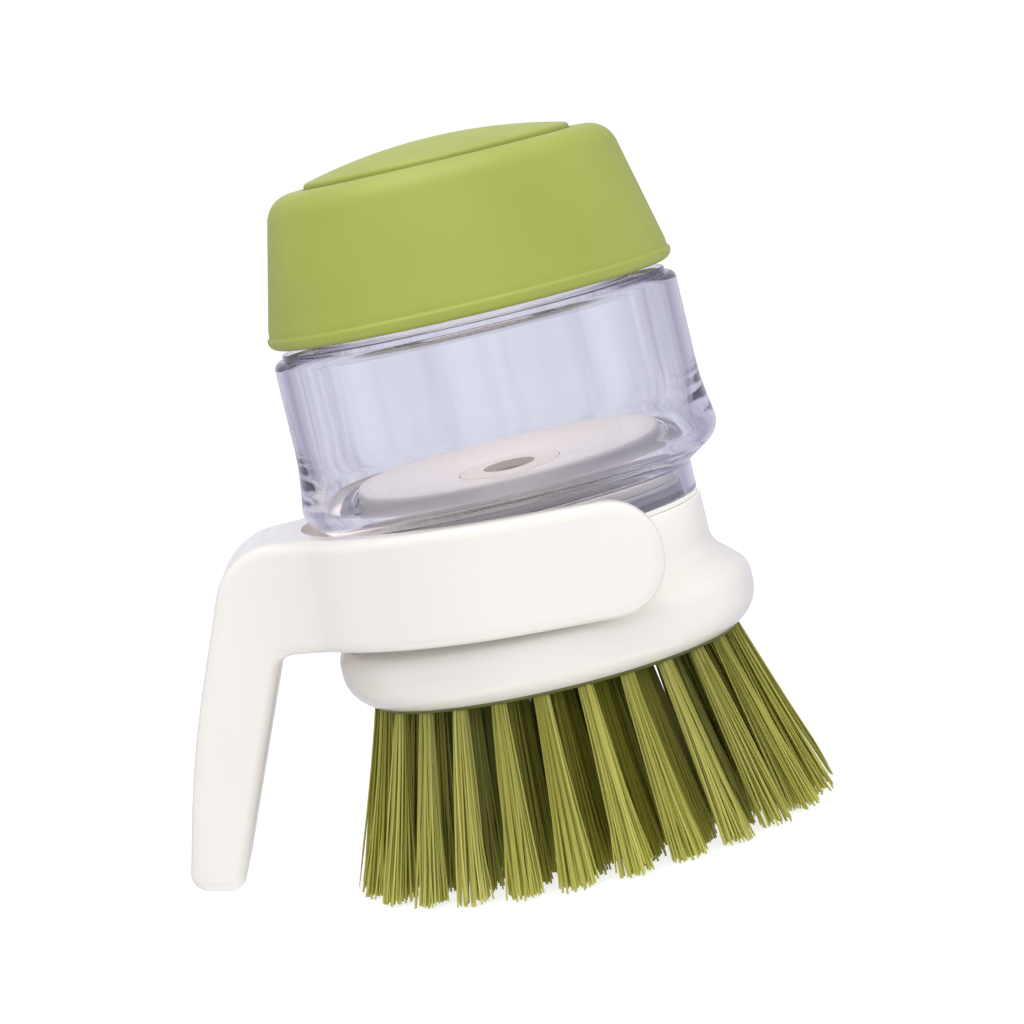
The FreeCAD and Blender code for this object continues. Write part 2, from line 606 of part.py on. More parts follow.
def on_circle(edge, radius, z):
    """Tell whether an edge is the circle of this radius round the axis at this height."""
    box = edge.BoundBox
    flat = abs(box.ZMin - z) < 1e-3 and abs(box.ZMax - z) < 1e-3
    return flat and abs(box.XMax - radius) < 1e-3


def leg_outline():
    """Return the stand's side outline as (x, z, corner radius): arms, stem and leg in one."""
    inner_run = math.tan(math.radians(LEG_LEAN)) * LEG_DROP
    heel_x = -LEG_INNER_X - inner_run
    heel_z = ARM_BOTTOM_Z - LEG_DROP
    toe_x = heel_x - FOOT_LENGTH * math.cos(math.radians(FOOT_LIFT))
    toe_z = heel_z + FOOT_LENGTH * math.sin(math.radians(FOOT_LIFT))
    knee_x = toe_x + LEG_KNEE_RISE * math.tan(math.radians(LEG_KNEE_LEAN))
    knee_z = toe_z + LEG_KNEE_RISE
    top_x = knee_x + (ARM_TOP_Z - knee_z) * math.tan(math.radians(LEG_TOP_LEAN))
    return [
        (ARM_REACH, ARM_BOTTOM_Z, ARM_END_RADIUS),
        (ARM_REACH, ARM_TOP_Z, ARM_END_RADIUS),
        (top_x, ARM_TOP_Z, STEM_CORNER_RADIUS),
        (knee_x, knee_z, LEG_KNEE_RADIUS),
        (toe_x, toe_z, FOOT_EDGE_RADIUS),
        (heel_x, heel_z, FOOT_EDGE_RADIUS),
        (-LEG_INNER_X, ARM_BOTTOM_Z, LEG_CROTCH_RADIUS),
    ]


def fork_plan(half_width, reach):
    """Return the plan of a U round the neck, open towards +X, as a face at z = 0."""
    near = FreeCAD.Vector(-FORK_SEAT_OFFSET, -half_width, 0)
    end = FreeCAD.Vector(-FORK_SEAT_OFFSET - half_width, 0, 0)
    far = FreeCAD.Vector(-FORK_SEAT_OFFSET, half_width, 0)
    open_far = FreeCAD.Vector(reach, half_width, 0)
    open_near = FreeCAD.Vector(reach, -half_width, 0)
    edges = [
        Part.Arc(near, end, far).toShape(),
        Part.makePolygon([far, open_far, open_near, near]),
    ]
    return Part.Face(Part.Wire(Part.__sortEdges__(edges[:1] + edges[1].Edges)))


def stand_plan(toe_x):
    """Return the stand's plan as a face at z = 0: the fork's outside blended into the leg's strip."""
    half = STEM_DEPTH / 2
    reach = FORK_OUTER + STEM_BLEND_RADIUS
    blend_y = half + STEM_BLEND_RADIUS
    blend_x = -FORK_SEAT_OFFSET - math.sqrt(reach ** 2 - blend_y ** 2)
    direction = math.atan2(blend_y, blend_x + FORK_SEAT_OFFSET)
    on_fork = (-FORK_SEAT_OFFSET + FORK_OUTER * math.cos(direction), FORK_OUTER * math.sin(direction))
    fork_half = (direction + math.pi / 2) / 2
    on_fork_mid = (-FORK_SEAT_OFFSET + FORK_OUTER * math.cos(fork_half), FORK_OUTER * math.sin(fork_half))
    blend_half = (direction + math.pi + 3 * math.pi / 2) / 2
    on_blend_mid = (blend_x + STEM_BLEND_RADIUS * math.cos(blend_half),
                    blend_y + STEM_BLEND_RADIUS * math.sin(blend_half))
    end_x = toe_x - FOOT_CORNER_REACH
    round_x = end_x + FOOT_CORNER_RADIUS
    corner_mid = (round_x - FOOT_CORNER_RADIUS * math.sqrt(0.5),
                  half - FOOT_CORNER_RADIUS * (1 - math.sqrt(0.5)))
    front = 2 * ARM_REACH

    def side(sign):
        """Return one side's edges, from the arm's open end to the strip's end."""
        def point(xy):
            return FreeCAD.Vector(xy[0], sign * xy[1], 0)
        arm = point((-FORK_SEAT_OFFSET, FORK_OUTER))
        strip = point((blend_x, half))
        corner = point((round_x, half))
        end = point((end_x, half - FOOT_CORNER_RADIUS))
        return [
            Part.LineSegment(point((front, FORK_OUTER)), arm).toShape(),
            Part.Arc(arm, point(on_fork_mid), point(on_fork)).toShape(),
            Part.Arc(point(on_fork), point(on_blend_mid), strip).toShape(),
            Part.LineSegment(strip, corner).toShape(),
            Part.Arc(corner, point(corner_mid), end).toShape(),
        ]

    closing = [
        Part.LineSegment(FreeCAD.Vector(front, FORK_OUTER, 0),
                         FreeCAD.Vector(front, -FORK_OUTER, 0)).toShape(),
        Part.LineSegment(FreeCAD.Vector(end_x, half - FOOT_CORNER_RADIUS, 0),
                         FreeCAD.Vector(end_x, FOOT_CORNER_RADIUS - half, 0)).toShape(),
    ]
    return Part.Face(Part.Wire(Part.__sortEdges__(side(1) + side(-1) + closing)))


def is_sharp(edge):
    """Tell whether an edge of the stand is one of its outlines, not a smooth line along Y or Z."""
    first = edge.Vertexes[0].Point
    last = edge.Vertexes[-1].Point
    along_y = abs(first.x - last.x) < 1e-4 and abs(first.z - last.z) < 1e-4
    along_z = abs(first.x - last.x) < 1e-4 and abs(first.y - last.y) < 1e-4
    return not (along_y or along_z)


def stand():
    """Return the stand: fork skirts, the guide rib that runs on the neck, stem and leg, in one moulding."""
    outline = leg_outline()
    toe_x = min(x for x, _, _ in outline)
    wire = rounded_wire(outline, lambda x, z: FreeCAD.Vector(x, -2 * FORK_OUTER, z))
    profile = Part.Face(wire).extrude(FreeCAD.Vector(0, 4 * FORK_OUTER, 0))
    column = stand_plan(toe_x).extrude(FreeCAD.Vector(0, 0, 2 * ARM_TOP_Z))
    solid = single(profile.common(column))
    solid = solid.makeFillet(STAND_EDGE_RADIUS, [edge for edge in solid.Edges if is_sharp(edge)])
    hollow = fork_plan(FORK_INNER, 3 * ARM_REACH).extrude(FreeCAD.Vector(0, 0, 2 * ARM_TOP_Z))
    neck = HEAD_NECK_RADIUS + GUIDE_CLEARANCE
    rise = math.tan(math.radians(FORK_TILT)) * (neck + FORK_SEAT_OFFSET)
    guide_low = NECK_FOOT_Z + rise + GUIDE_END_MARGIN
    guide_high = TANK_BASE_Z - rise - GUIDE_END_MARGIN
    guide = fork_plan(FORK_INNER + GUIDE_ROOT, GUIDE_REACH).cut(fork_plan(neck, 3 * ARM_REACH))
    guide = guide.extrude(FreeCAD.Vector(0, 0, guide_high - guide_low))
    guide.translate(FreeCAD.Vector(0, 0, guide_low))
    whole = single(solid.cut(hollow).fuse(guide))
    whole.rotate(FreeCAD.Vector(0, 0, FORK_Z), FreeCAD.Vector(0, 1, 0), FORK_TILT)
    return whole


def tuft_nodes():
    """Return the tuft rings, each a group of separate solids, and the group of all their anchors."""
    nodes = {}
    anchors = []
    for index, (radius, lean, angles) in enumerate(tuft_layout()):
        nodes[f"tuft_ring_{index + 1}"] = Part.makeCompound([tuft(radius, lean, angle) for angle in angles])
        anchors += [tuft_anchor(radius, lean, angle) for angle in angles]
    nodes["tuft_anchors"] = Part.makeCompound(anchors)
    return nodes


def main():
    """Build every piece and write it as its own STEP file."""
    os.makedirs("parts", exist_ok=True)
    nodes = {
        "push_button": push_button(),
        "pump_bellows": pump_bellows(),
        "bellows_ring": bellows_ring(),
        "cap_shell": cap_shell(),
        "cap_insert": cap_insert(),
        "cap_gasket": cap_gasket(),
        "neck_washer": neck_washer(),
        "plug_seal": plug_seal(),
        "brush_head": brush_head(),
        "feed_tube": feed_tube(),
        "slit_valve": slit_valve(),
        "valve_retainer": valve_retainer(),
        "tuft_block": tuft_block(),
        "stand": stand(),
    }
    nodes.update(tank_nodes())
    nodes.update(tuft_nodes())
    for name, shape in nodes.items():
        shape.exportStep(f"parts/{name}.step")
        box = shape.BoundBox
        print(f"{name}: solids {len(shape.Solids)}, valid {shape.isValid()}, volume {shape.Volume:.1f}, "
              f"x {box.XMin:.2f} to {box.XMax:.2f}, z {box.ZMin:.2f} to {box.ZMax:.2f}")


main()
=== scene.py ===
"""Dress a palm dish brush: soft-touch cap, clear soap tank, glossy head and stand, and filament bristles.

Sizes are in millimetres in the outlines and in metres in the meshes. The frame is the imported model's own:
+Z runs up the brush's axis and z = 0 is the plane of the bristle tips.
"""

from __future__ import annotations

import logging
import math
from dataclasses import dataclass, field
from enum import Enum

import bpy
import numpy as np
from mathutils import Matrix, Vector

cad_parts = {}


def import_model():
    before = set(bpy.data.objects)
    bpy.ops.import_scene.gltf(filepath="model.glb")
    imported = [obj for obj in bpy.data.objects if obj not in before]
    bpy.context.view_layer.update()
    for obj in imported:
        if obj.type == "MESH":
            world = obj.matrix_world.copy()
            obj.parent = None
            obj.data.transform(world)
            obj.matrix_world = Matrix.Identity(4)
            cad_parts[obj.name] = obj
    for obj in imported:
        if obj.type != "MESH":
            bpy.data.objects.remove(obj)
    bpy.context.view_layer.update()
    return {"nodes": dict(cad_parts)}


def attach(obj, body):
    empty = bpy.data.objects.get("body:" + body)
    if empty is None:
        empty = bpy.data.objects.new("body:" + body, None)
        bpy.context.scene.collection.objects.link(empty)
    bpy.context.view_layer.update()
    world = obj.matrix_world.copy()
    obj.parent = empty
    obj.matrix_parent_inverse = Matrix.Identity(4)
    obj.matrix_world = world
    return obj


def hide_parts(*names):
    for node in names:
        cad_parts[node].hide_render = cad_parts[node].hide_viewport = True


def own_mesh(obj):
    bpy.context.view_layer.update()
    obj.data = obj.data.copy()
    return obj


LOG = logging.getLogger("dish_brush")
MM = 0.001
MERGE_GAP = 2e-6
FULL_TURN = 2 * math.pi
GOLDEN_ANGLE = math.pi * (3 - math.sqrt(5))
NOISE_SPAN = (0.3, 0.7)
PLASTIC_IOR = 1.49
WHITE = (1.0, 1.0, 1.0, 1.0)
BLACK = (0.0, 0.0, 0.0, 1.0)

Colour = tuple[float, float, float]
Place = tuple[float, float, float]
Point = tuple[float, float]


class Body(Enum):
    """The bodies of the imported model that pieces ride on."""

    HEAD = "head"
    WASHER = "washer"
    TANK = "tank"
    CAP = "cap"
    BUTTON = "button"


class Grain(Enum):
    """How coarse a moulded surface's grain is, as noise cells per metre."""

    FINE = 5200.0
    SATIN = 2600.0
    FLOWED = 260.0


# Finishes


class NodeBench:
    """A material's node tree with short ways to add and join nodes."""

    def __init__(self, name: str) -> None:
        """Start a new material with a Principled shader.

        Args:
            name: The material's name.
        """
        self.material = bpy.data.materials.new(name)
        self.material.use_nodes = True
        self.tree = self.material.node_tree
        self.shader = self.tree.nodes["Principled BSDF"]

    def add(self, kind: str, **settings: object) -> bpy.types.Node:
        """Add a node.

        Args:
            kind: The node's type name.
            **settings: Properties to set on the node.

        Returns:
            The new node.
        """
        node = self.tree.nodes.new(kind)
        for key, value in settings.items():
            setattr(node, key, value)
        return node

    def join(self, source: bpy.types.NodeSocket, target: bpy.types.NodeSocket) -> None:
        """Link one socket to another."""
        self.tree.links.new(source, target)

    def noise(self, scale: float, detail: float, stretch: Place = (1.0, 1.0, 1.0)) -> bpy.types.NodeSocket:
        """Add noise on the piece's own coordinates.

        Args:
            scale: Cells per metre.
            detail: How many finer layers are added.
            stretch: How much denser the cells are along X, Y and Z.

        Returns:
            The noise's value socket.
        """
        place = self.add("ShaderNodeTexCoord")
        mapping = self.add("ShaderNodeMapping")
        mapping.inputs["Scale"].default_value = stretch
        texture = self.add("ShaderNodeTexNoise")
        texture.inputs["Scale"].default_value = scale
        texture.inputs["Detail"].default_value = detail
        self.join(place.outputs["Object"], mapping.inputs["Vector"])
        self.join(mapping.outputs["Vector"], texture.inputs["Vector"])
        return texture.outputs["Fac"]

    def ranged(self, value: bpy.types.NodeSocket, low: float, high: float) -> bpy.types.NodeSocket:
        """Map a noise value, which stays near its middle, to a range.

        Args:
            value: The noise's socket.
            low: Result at the noise's low end.
            high: Result at the noise's high end.

        Returns:
            The mapped value's socket.
        """
        node = self.add("ShaderNodeMapRange")
        node.inputs["From Min"].default_value = NOISE_SPAN[0]
        node.inputs["From Max"].default_value = NOISE_SPAN[1]
        node.inputs["To Min"].default_value = low
        node.inputs["To Max"].default_value = high
        self.join(value, node.inputs["Value"])
        return node.outputs["Result"]

    def mixed(self, factor: bpy.types.NodeSocket, first: Colour | bpy.types.NodeSocket,
              second: Colour) -> bpy.types.NodeSocket:
        """Mix two colours by a factor.

        Args:
            factor: The socket that drives the mix.
            first: Colour at factor 0, or the socket that gives it.
            second: Colour at factor 1.

        Returns:
            The mixed colour's socket.
        """
        node = self.add("ShaderNodeMix", data_type="RGBA")
        start, end = [socket for socket in node.inputs if socket.type == "RGBA"]
        if isinstance(first, bpy.types.NodeSocket):
            self.join(first, start)
        else:
            start.default_value = (*first, 1.0)
        end.default_value = (*second, 1.0)
        self.join(factor, node.inputs["Factor"])
        return next(socket for socket in node.outputs if socket.type == "RGBA")

    def bump(self, height: bpy.types.NodeSocket, strength: float, depth_mm: float) -> None:
        """Bump the surface by a height.

        Args:
            height: The socket that gives the height.
            strength: How strongly it shows, from 0 to 1.
            depth_mm: The height's depth.
        """
        node = self.add("ShaderNodeBump")
        node.inputs["Strength"].default_value = strength
        node.inputs["Distance"].default_value = depth_mm * MM
        self.join(height, node.inputs["Height"])
        self.join(node.outputs["Normal"], self.shader.inputs["Normal"])

    def fix(self, **values: float) -> None:
        """Set shader sockets that are the same all over, with spaces written as underscores."""
        for key, value in values.items():
            self.shader.inputs[key.replace("_", " ")].default_value = value


@dataclass(frozen=True)
class Moulded:
    """A moulded plastic or rubber: a mottled colour, uneven gloss and a fine grain."""

    slot: str
    colour: Colour
    shade: Colour
    roughness: float
    spread: float = 0.05
    mottle: float = 70.0
    grain: Grain = Grain.FINE
    grain_strength: float = 0.1
    grain_depth: float = 0.02
    coat: float = 0.0
    coat_roughness: float = 0.06
    gloss: float = 0.5
    subsurface: float = 0.0
    subsurface_depth: float = 2.0
    cloud_layers: float = 3.0
    wear_layers: float = 4.0
    wear_ratio: float = 4.0
    grain_layers: float = 2.0

    def material(self) -> bpy.types.Material:
        """Return the finish's material, made on first use."""
        name = f"moulded_{self.slot}"
        if name in bpy.data.materials:
            return bpy.data.materials[name]
        bench = NodeBench(name)
        cloud = bench.noise(self.mottle, self.cloud_layers)
        bench.join(bench.mixed(bench.ranged(cloud, 0.0, 1.0), self.colour, self.shade),
                   bench.shader.inputs["Base Color"])
        worn = bench.noise(self.mottle * self.wear_ratio, self.wear_layers)
        bench.join(bench.ranged(worn, self.roughness - self.spread, self.roughness + self.spread),
                   bench.shader.inputs["Roughness"])
        bench.bump(bench.noise(self.grain.value, self.grain_layers), self.grain_strength, self.grain_depth)
        bench.fix(IOR=PLASTIC_IOR, Specular_IOR_Level=self.gloss)
        if self.coat > 0.0:
            bench.fix(Coat_Weight=self.coat, Coat_Roughness=self.coat_roughness)
        if self.subsurface > 0.0:
            bench.fix(Subsurface_Weight=self.subsurface, Subsurface_Scale=self.subsurface_depth * MM)
        return bench.material


@dataclass(frozen=True)
class Clear:
    """A clear, faintly tinted moulding whose walls are not quite even."""

    slot: str
    tint: Colour
    deep: Colour
    through: Colour
    density: float = 42.0
    roughness: float = 0.015
    streak_scale: float = 60.0
    streak_layers: float = 2.0
    streak_stretch: Place = (3.0, 3.0, 0.25)
    wear_scale: float = 180.0
    wear_layers: float = 3.0
    wear_spread: float = 0.5
    wave_scale: float = 45.0
    wave_layers: float = 1.0
    wave_stretch: Place = (2.0, 2.0, 0.35)
    wave_strength: float = 0.22
    wave_depth: float = 0.25

    def material(self) -> bpy.types.Material:
        """Return the finish's material, made on first use."""
        name = f"clear_{self.slot}"
        if name in bpy.data.materials:
            return bpy.data.materials[name]
        bench = NodeBench(name)
        streak = bench.noise(self.streak_scale, self.streak_layers, self.streak_stretch)
        bench.join(bench.mixed(bench.ranged(streak, 0.0, 1.0), self.tint, self.deep),
                   bench.shader.inputs["Base Color"])
        worn = bench.noise(self.wear_scale, self.wear_layers)
        spread = self.roughness * self.wear_spread
        bench.join(bench.ranged(worn, self.roughness - spread, self.roughness + spread),
                   bench.shader.inputs["Roughness"])
        wave = bench.noise(self.wave_scale, self.wave_layers, self.wave_stretch)
        bench.bump(wave, self.wave_strength, self.wave_depth)
        bench.fix(Transmission_Weight=1.0, IOR=PLASTIC_IOR)
        depth = bench.add("ShaderNodeVolumeAbsorption")
        depth.inputs["Color"].default_value = (*self.through, 1.0)
        depth.inputs["Density"].default_value = self.density
        bench.join(depth.outputs["Volume"], bench.tree.nodes["Material Output"].inputs["Volume"])
        return bench.material


@dataclass(frozen=True)
class Strands:
    """Nylon filaments: each has its own random tone, and all of them darken towards their roots with painted
    shade.
    """

    slot: str
    root: Colour
    tip: Colour
    pale: Colour
    roughness: float
    spread: float = 0.08
    wear_scale: float = 900.0
    wear_layers: float = 2.0
    ior: float = 1.53
    gloss: float = 0.3

    def material(self) -> bpy.types.Material:
        """Return the finish's material, made on first use."""
        name = f"strands_{self.slot}"
        if name in bpy.data.materials:
            return bpy.data.materials[name]
        bench = NodeBench(name)
        along = bench.add("ShaderNodeAttribute", attribute_name=BristleField.ALONG)
        strand = bench.add("ShaderNodeAttribute", attribute_name=BristleField.STRAND)
        # Root to tip mix: the darker root colour is painted shade deep in the tufts.
        length = bench.mixed(along.outputs["Fac"], self.root, self.tip)
        bench.join(bench.mixed(strand.outputs["Fac"], length, self.pale), bench.shader.inputs["Base Color"])
        worn = bench.noise(self.wear_scale, self.wear_layers)
        bench.join(bench.ranged(worn, self.roughness - self.spread, self.roughness + self.spread),
                   bench.shader.inputs["Roughness"])
        bench.fix(IOR=self.ior, Specular_IOR_Level=self.gloss)
        return bench.material


SOFT_TOUCH_GREEN = Moulded("green", (0.364, 0.409, 0.063), (0.327, 0.367, 0.053), 0.5, mottle=38.0,
                           grain=Grain.SATIN, grain_strength=0.12, grain_depth=0.03, gloss=0.6)
CLEAR_TANK = Clear("clear", (0.965, 0.965, 0.98), (0.945, 0.945, 0.965), (0.83, 0.82, 0.905))
GLOSS_WHITE = Moulded("white", (0.845, 0.808, 0.769), (0.825, 0.788, 0.75), 0.2, mottle=26.0,
                      grain=Grain.FLOWED, grain_strength=0.08, grain_depth=0.03, coat=0.35)
INNER_WHITE = Moulded("inner_white", (0.80, 0.765, 0.72), (0.76, 0.72, 0.67), 0.38)
SILICONE = Moulded("silicone", (0.80, 0.80, 0.775), (0.74, 0.74, 0.72), 0.45, subsurface=0.25)
SEAL_GREY = Moulded("seal", (0.72, 0.71, 0.75), (0.66, 0.65, 0.69), 0.5)
# The pale silicone valve is coloured dark taupe as painted shade for the dark slot at the tank floor's
# centre.
VALVE_PAINTED_SHADE = Moulded("valve", (0.30, 0.27, 0.23), (0.24, 0.215, 0.18), 0.5)
BLOCK_OLIVE = Moulded("block", (0.12, 0.13, 0.03), (0.09, 0.10, 0.022), 0.5)
# The bristle root colour is darker than the tip colour as painted shade near the roots.
BRISTLE_GREEN = Strands("bristle", (0.18, 0.178, 0.012), (0.335, 0.33, 0.04), (0.66, 0.64, 0.17), 0.5)
STAPLE_STEEL = Moulded("staple", (0.6, 0.6, 0.6), (0.5, 0.5, 0.5), 0.35)

Finish = Moulded | Clear | Strands


# Turning


@dataclass(frozen=True)
class Corner:
    """One corner of a turned outline in millimetres: radius, height and how far it is rounded."""

    r: float
    z: float
    bend: float = 0.0


def arc(centre: Point, radius: float, start: float, stop: float, steps: int) -> list[Corner]:
    """Return an arc of an outline.

    Args:
        centre: The arc's centre as radius and height.
        radius: The arc's radius.
        start: The angle it starts at, in degrees from the outward direction.
        stop: The angle it stops at.
        steps: How many chords it has.

    Returns:
        The arc's points as plain corners.
    """
    angles = [math.radians(start + (stop - start) * step / steps) for step in range(steps + 1)]
    return [Corner(centre[0] + radius * math.cos(angle), centre[1] + radius * math.sin(angle))
            for angle in angles]


def draw_outline(points: list[Vector]) -> bpy.types.Object:
    """Draw a closed outline by extruding a point, and leave it in edit mode with all of it selected.

    Args:
        points: The outline's points in metres.

    Returns:
        The new object.
    """
    bpy.ops.object.select_all(action="DESELECT")
    bpy.ops.mesh.primitive_plane_add(size=MM, location=(0.0, 0.0, 0.0))
    piece = bpy.context.object
    bpy.ops.object.mode_set(mode="EDIT")
    bpy.ops.mesh.select_all(action="SELECT")
    bpy.ops.mesh.merge(type="CENTER")
    bpy.ops.transform.translate(value=points[0])
    for before, point in zip(points, points[1:] + points[:1]):
        bpy.ops.mesh.extrude_region_move(TRANSFORM_OT_translate={"value": point - before})
    bpy.ops.mesh.select_all(action="SELECT")
    bpy.ops.mesh.remove_doubles(threshold=MERGE_GAP)
    bpy.ops.mesh.select_all(action="SELECT")
    return piece


@dataclass
class Turned:
    """A piece turned round the brush's axis from a closed outline."""

    name: str
    outline: list[Corner]
    segments: int = 160
    chord: float = 10.0

    def points(self) -> list[Vector]:
        """Return the outline's points in metres, with its corners rounded."""
        raw = [Vector((corner.r, 0.0, corner.z)) for corner in self.outline]
        count = len(raw)
        found: list[Vector] = []
        for index, corner in enumerate(self.outline):
            here = raw[index]
            if corner.bend <= 0.0:
                found.append(here)
                continue
            back = (raw[index - 1] - here).normalized()
            ahead = (raw[(index + 1) % count] - here).normalized()
            half = back.angle(ahead) / 2
            middle = here + (back + ahead).normalized() * (corner.bend / math.sin(half))
            start = here + back * (corner.bend / math.tan(half)) - middle
            end = here + ahead * (corner.bend / math.tan(half)) - middle
            turn = start.angle(end)
            steps = max(2, math.ceil(math.degrees(turn) / self.chord))
            for step in range(steps + 1):
                part = step / steps
                found.append(middle + (start * math.sin((1 - part) * turn) + end * math.sin(part * turn))
                             / math.sin(turn))
        return [point * MM for point in found]

    def build(self) -> bpy.types.Object:
        """Draw the outline, spin it round the axis and close it."""
        piece = draw_outline(self.points())
        piece.name = self.name
        piece.data.name = self.name
        bpy.ops.mesh.spin(steps=self.segments, angle=FULL_TURN, center=(0.0, 0.0, 0.0), axis=(0.0, 0.0, 1.0))
        close_up()
        bpy.ops.object.mode_set(mode="OBJECT")
        return piece


def close_up() -> None:
    """Merge what coincides in the mesh being edited, clear degenerate faces and turn its faces outwards."""
    bpy.ops.mesh.select_all(action="SELECT")
    bpy.ops.mesh.remove_doubles(threshold=MERGE_GAP)
    bpy.ops.mesh.dissolve_degenerate(threshold=MERGE_GAP)
    bpy.ops.mesh.select_all(action="SELECT")
    bpy.ops.mesh.normals_make_consistent(inside=False)


def only(piece: bpy.types.Object) -> None:
    """Select one object alone and make it active."""
    bpy.ops.object.select_all(action="DESELECT")
    piece.select_set(True)
    bpy.context.view_layer.objects.active = piece


def smooth(piece: bpy.types.Object, limit: float = 28.0) -> None:
    """Shade a piece smooth, apart from edges sharper than a limit in degrees."""
    only(piece)
    bpy.ops.object.shade_smooth_by_angle(angle=math.radians(limit))


def apply_modifier(piece: bpy.types.Object, modifier: bpy.types.Modifier) -> None:
    """Apply one modifier of a piece."""
    only(piece)
    bpy.ops.object.modifier_apply(modifier=modifier.name)


@dataclass
class Thread:
    """A single-start, right-handed screw ridge on a wall."""

    root: float
    rise: float
    low: float
    turns: float
    start: float
    pitch: float = 4.0
    root_width: float = 1.7
    tip_width: float = 0.9
    sink: float = 0.3
    steps: int = 96

    def build(self) -> bpy.types.Object:
        """Draw the ridge's section, sweep it with a Screw modifier and cap its ends."""
        buried = self.root - math.copysign(self.sink, self.rise)
        tip = self.root + self.rise
        section = [(buried, -self.root_width / 2), (tip, -self.tip_width / 2),
                   (tip, self.tip_width / 2), (buried, self.root_width / 2)]
        ridge = draw_outline([Vector((r, 0.0, self.low + z)) * MM for r, z in section])
        bpy.ops.object.mode_set(mode="OBJECT")
        screw = ridge.modifiers.new("screw", "SCREW")
        screw.axis = "Z"
        screw.angle = FULL_TURN * self.turns
        screw.screw_offset = self.pitch * self.turns * MM
        screw.steps = round(self.steps * self.turns)
        screw.render_steps = screw.steps
        screw.use_merge_vertices = False
        apply_modifier(ridge, screw)
        ridge.rotation_euler.z = math.radians(self.start)
        bpy.ops.object.transform_apply(location=True, rotation=True, scale=True)
        bpy.ops.object.mode_set(mode="EDIT")
        bpy.ops.mesh.select_all(action="SELECT")
        bpy.ops.mesh.fill_holes(sides=0)
        close_up()
        bpy.ops.object.mode_set(mode="OBJECT")
        return ridge

    def grow_on(self, piece: bpy.types.Object) -> None:
        """Unite the ridge with the piece whose wall it stands on.

        Args:
            piece: The turned piece.
        """
        ridge = self.build()
        union = piece.modifiers.new("thread", "BOOLEAN")
        union.operation = "UNION"
        union.solver = "EXACT"
        union.object = ridge
        apply_modifier(piece, union)
        bpy.data.objects.remove(ridge, do_unlink=True)


def hand_over(piece: bpy.types.Object, body: Body, finish: Finish, *nodes: str) -> bpy.types.Object:
    """Dress a piece, ride it on its body and let it stand for its nodes.

    Args:
        piece: The finished piece.
        body: The body that it moves with.
        finish: Its finish.
        *nodes: The nodes that it stands for.

    Returns:
        The piece.
    """
    piece.data.materials.clear()
    piece.data.materials.append(finish.material())
    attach(piece, body.value)
    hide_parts(*nodes)
    LOG.info("%s: %d faces on %s", piece.name, len(piece.data.polygons), body.value)
    return piece


# Sub-assemblies


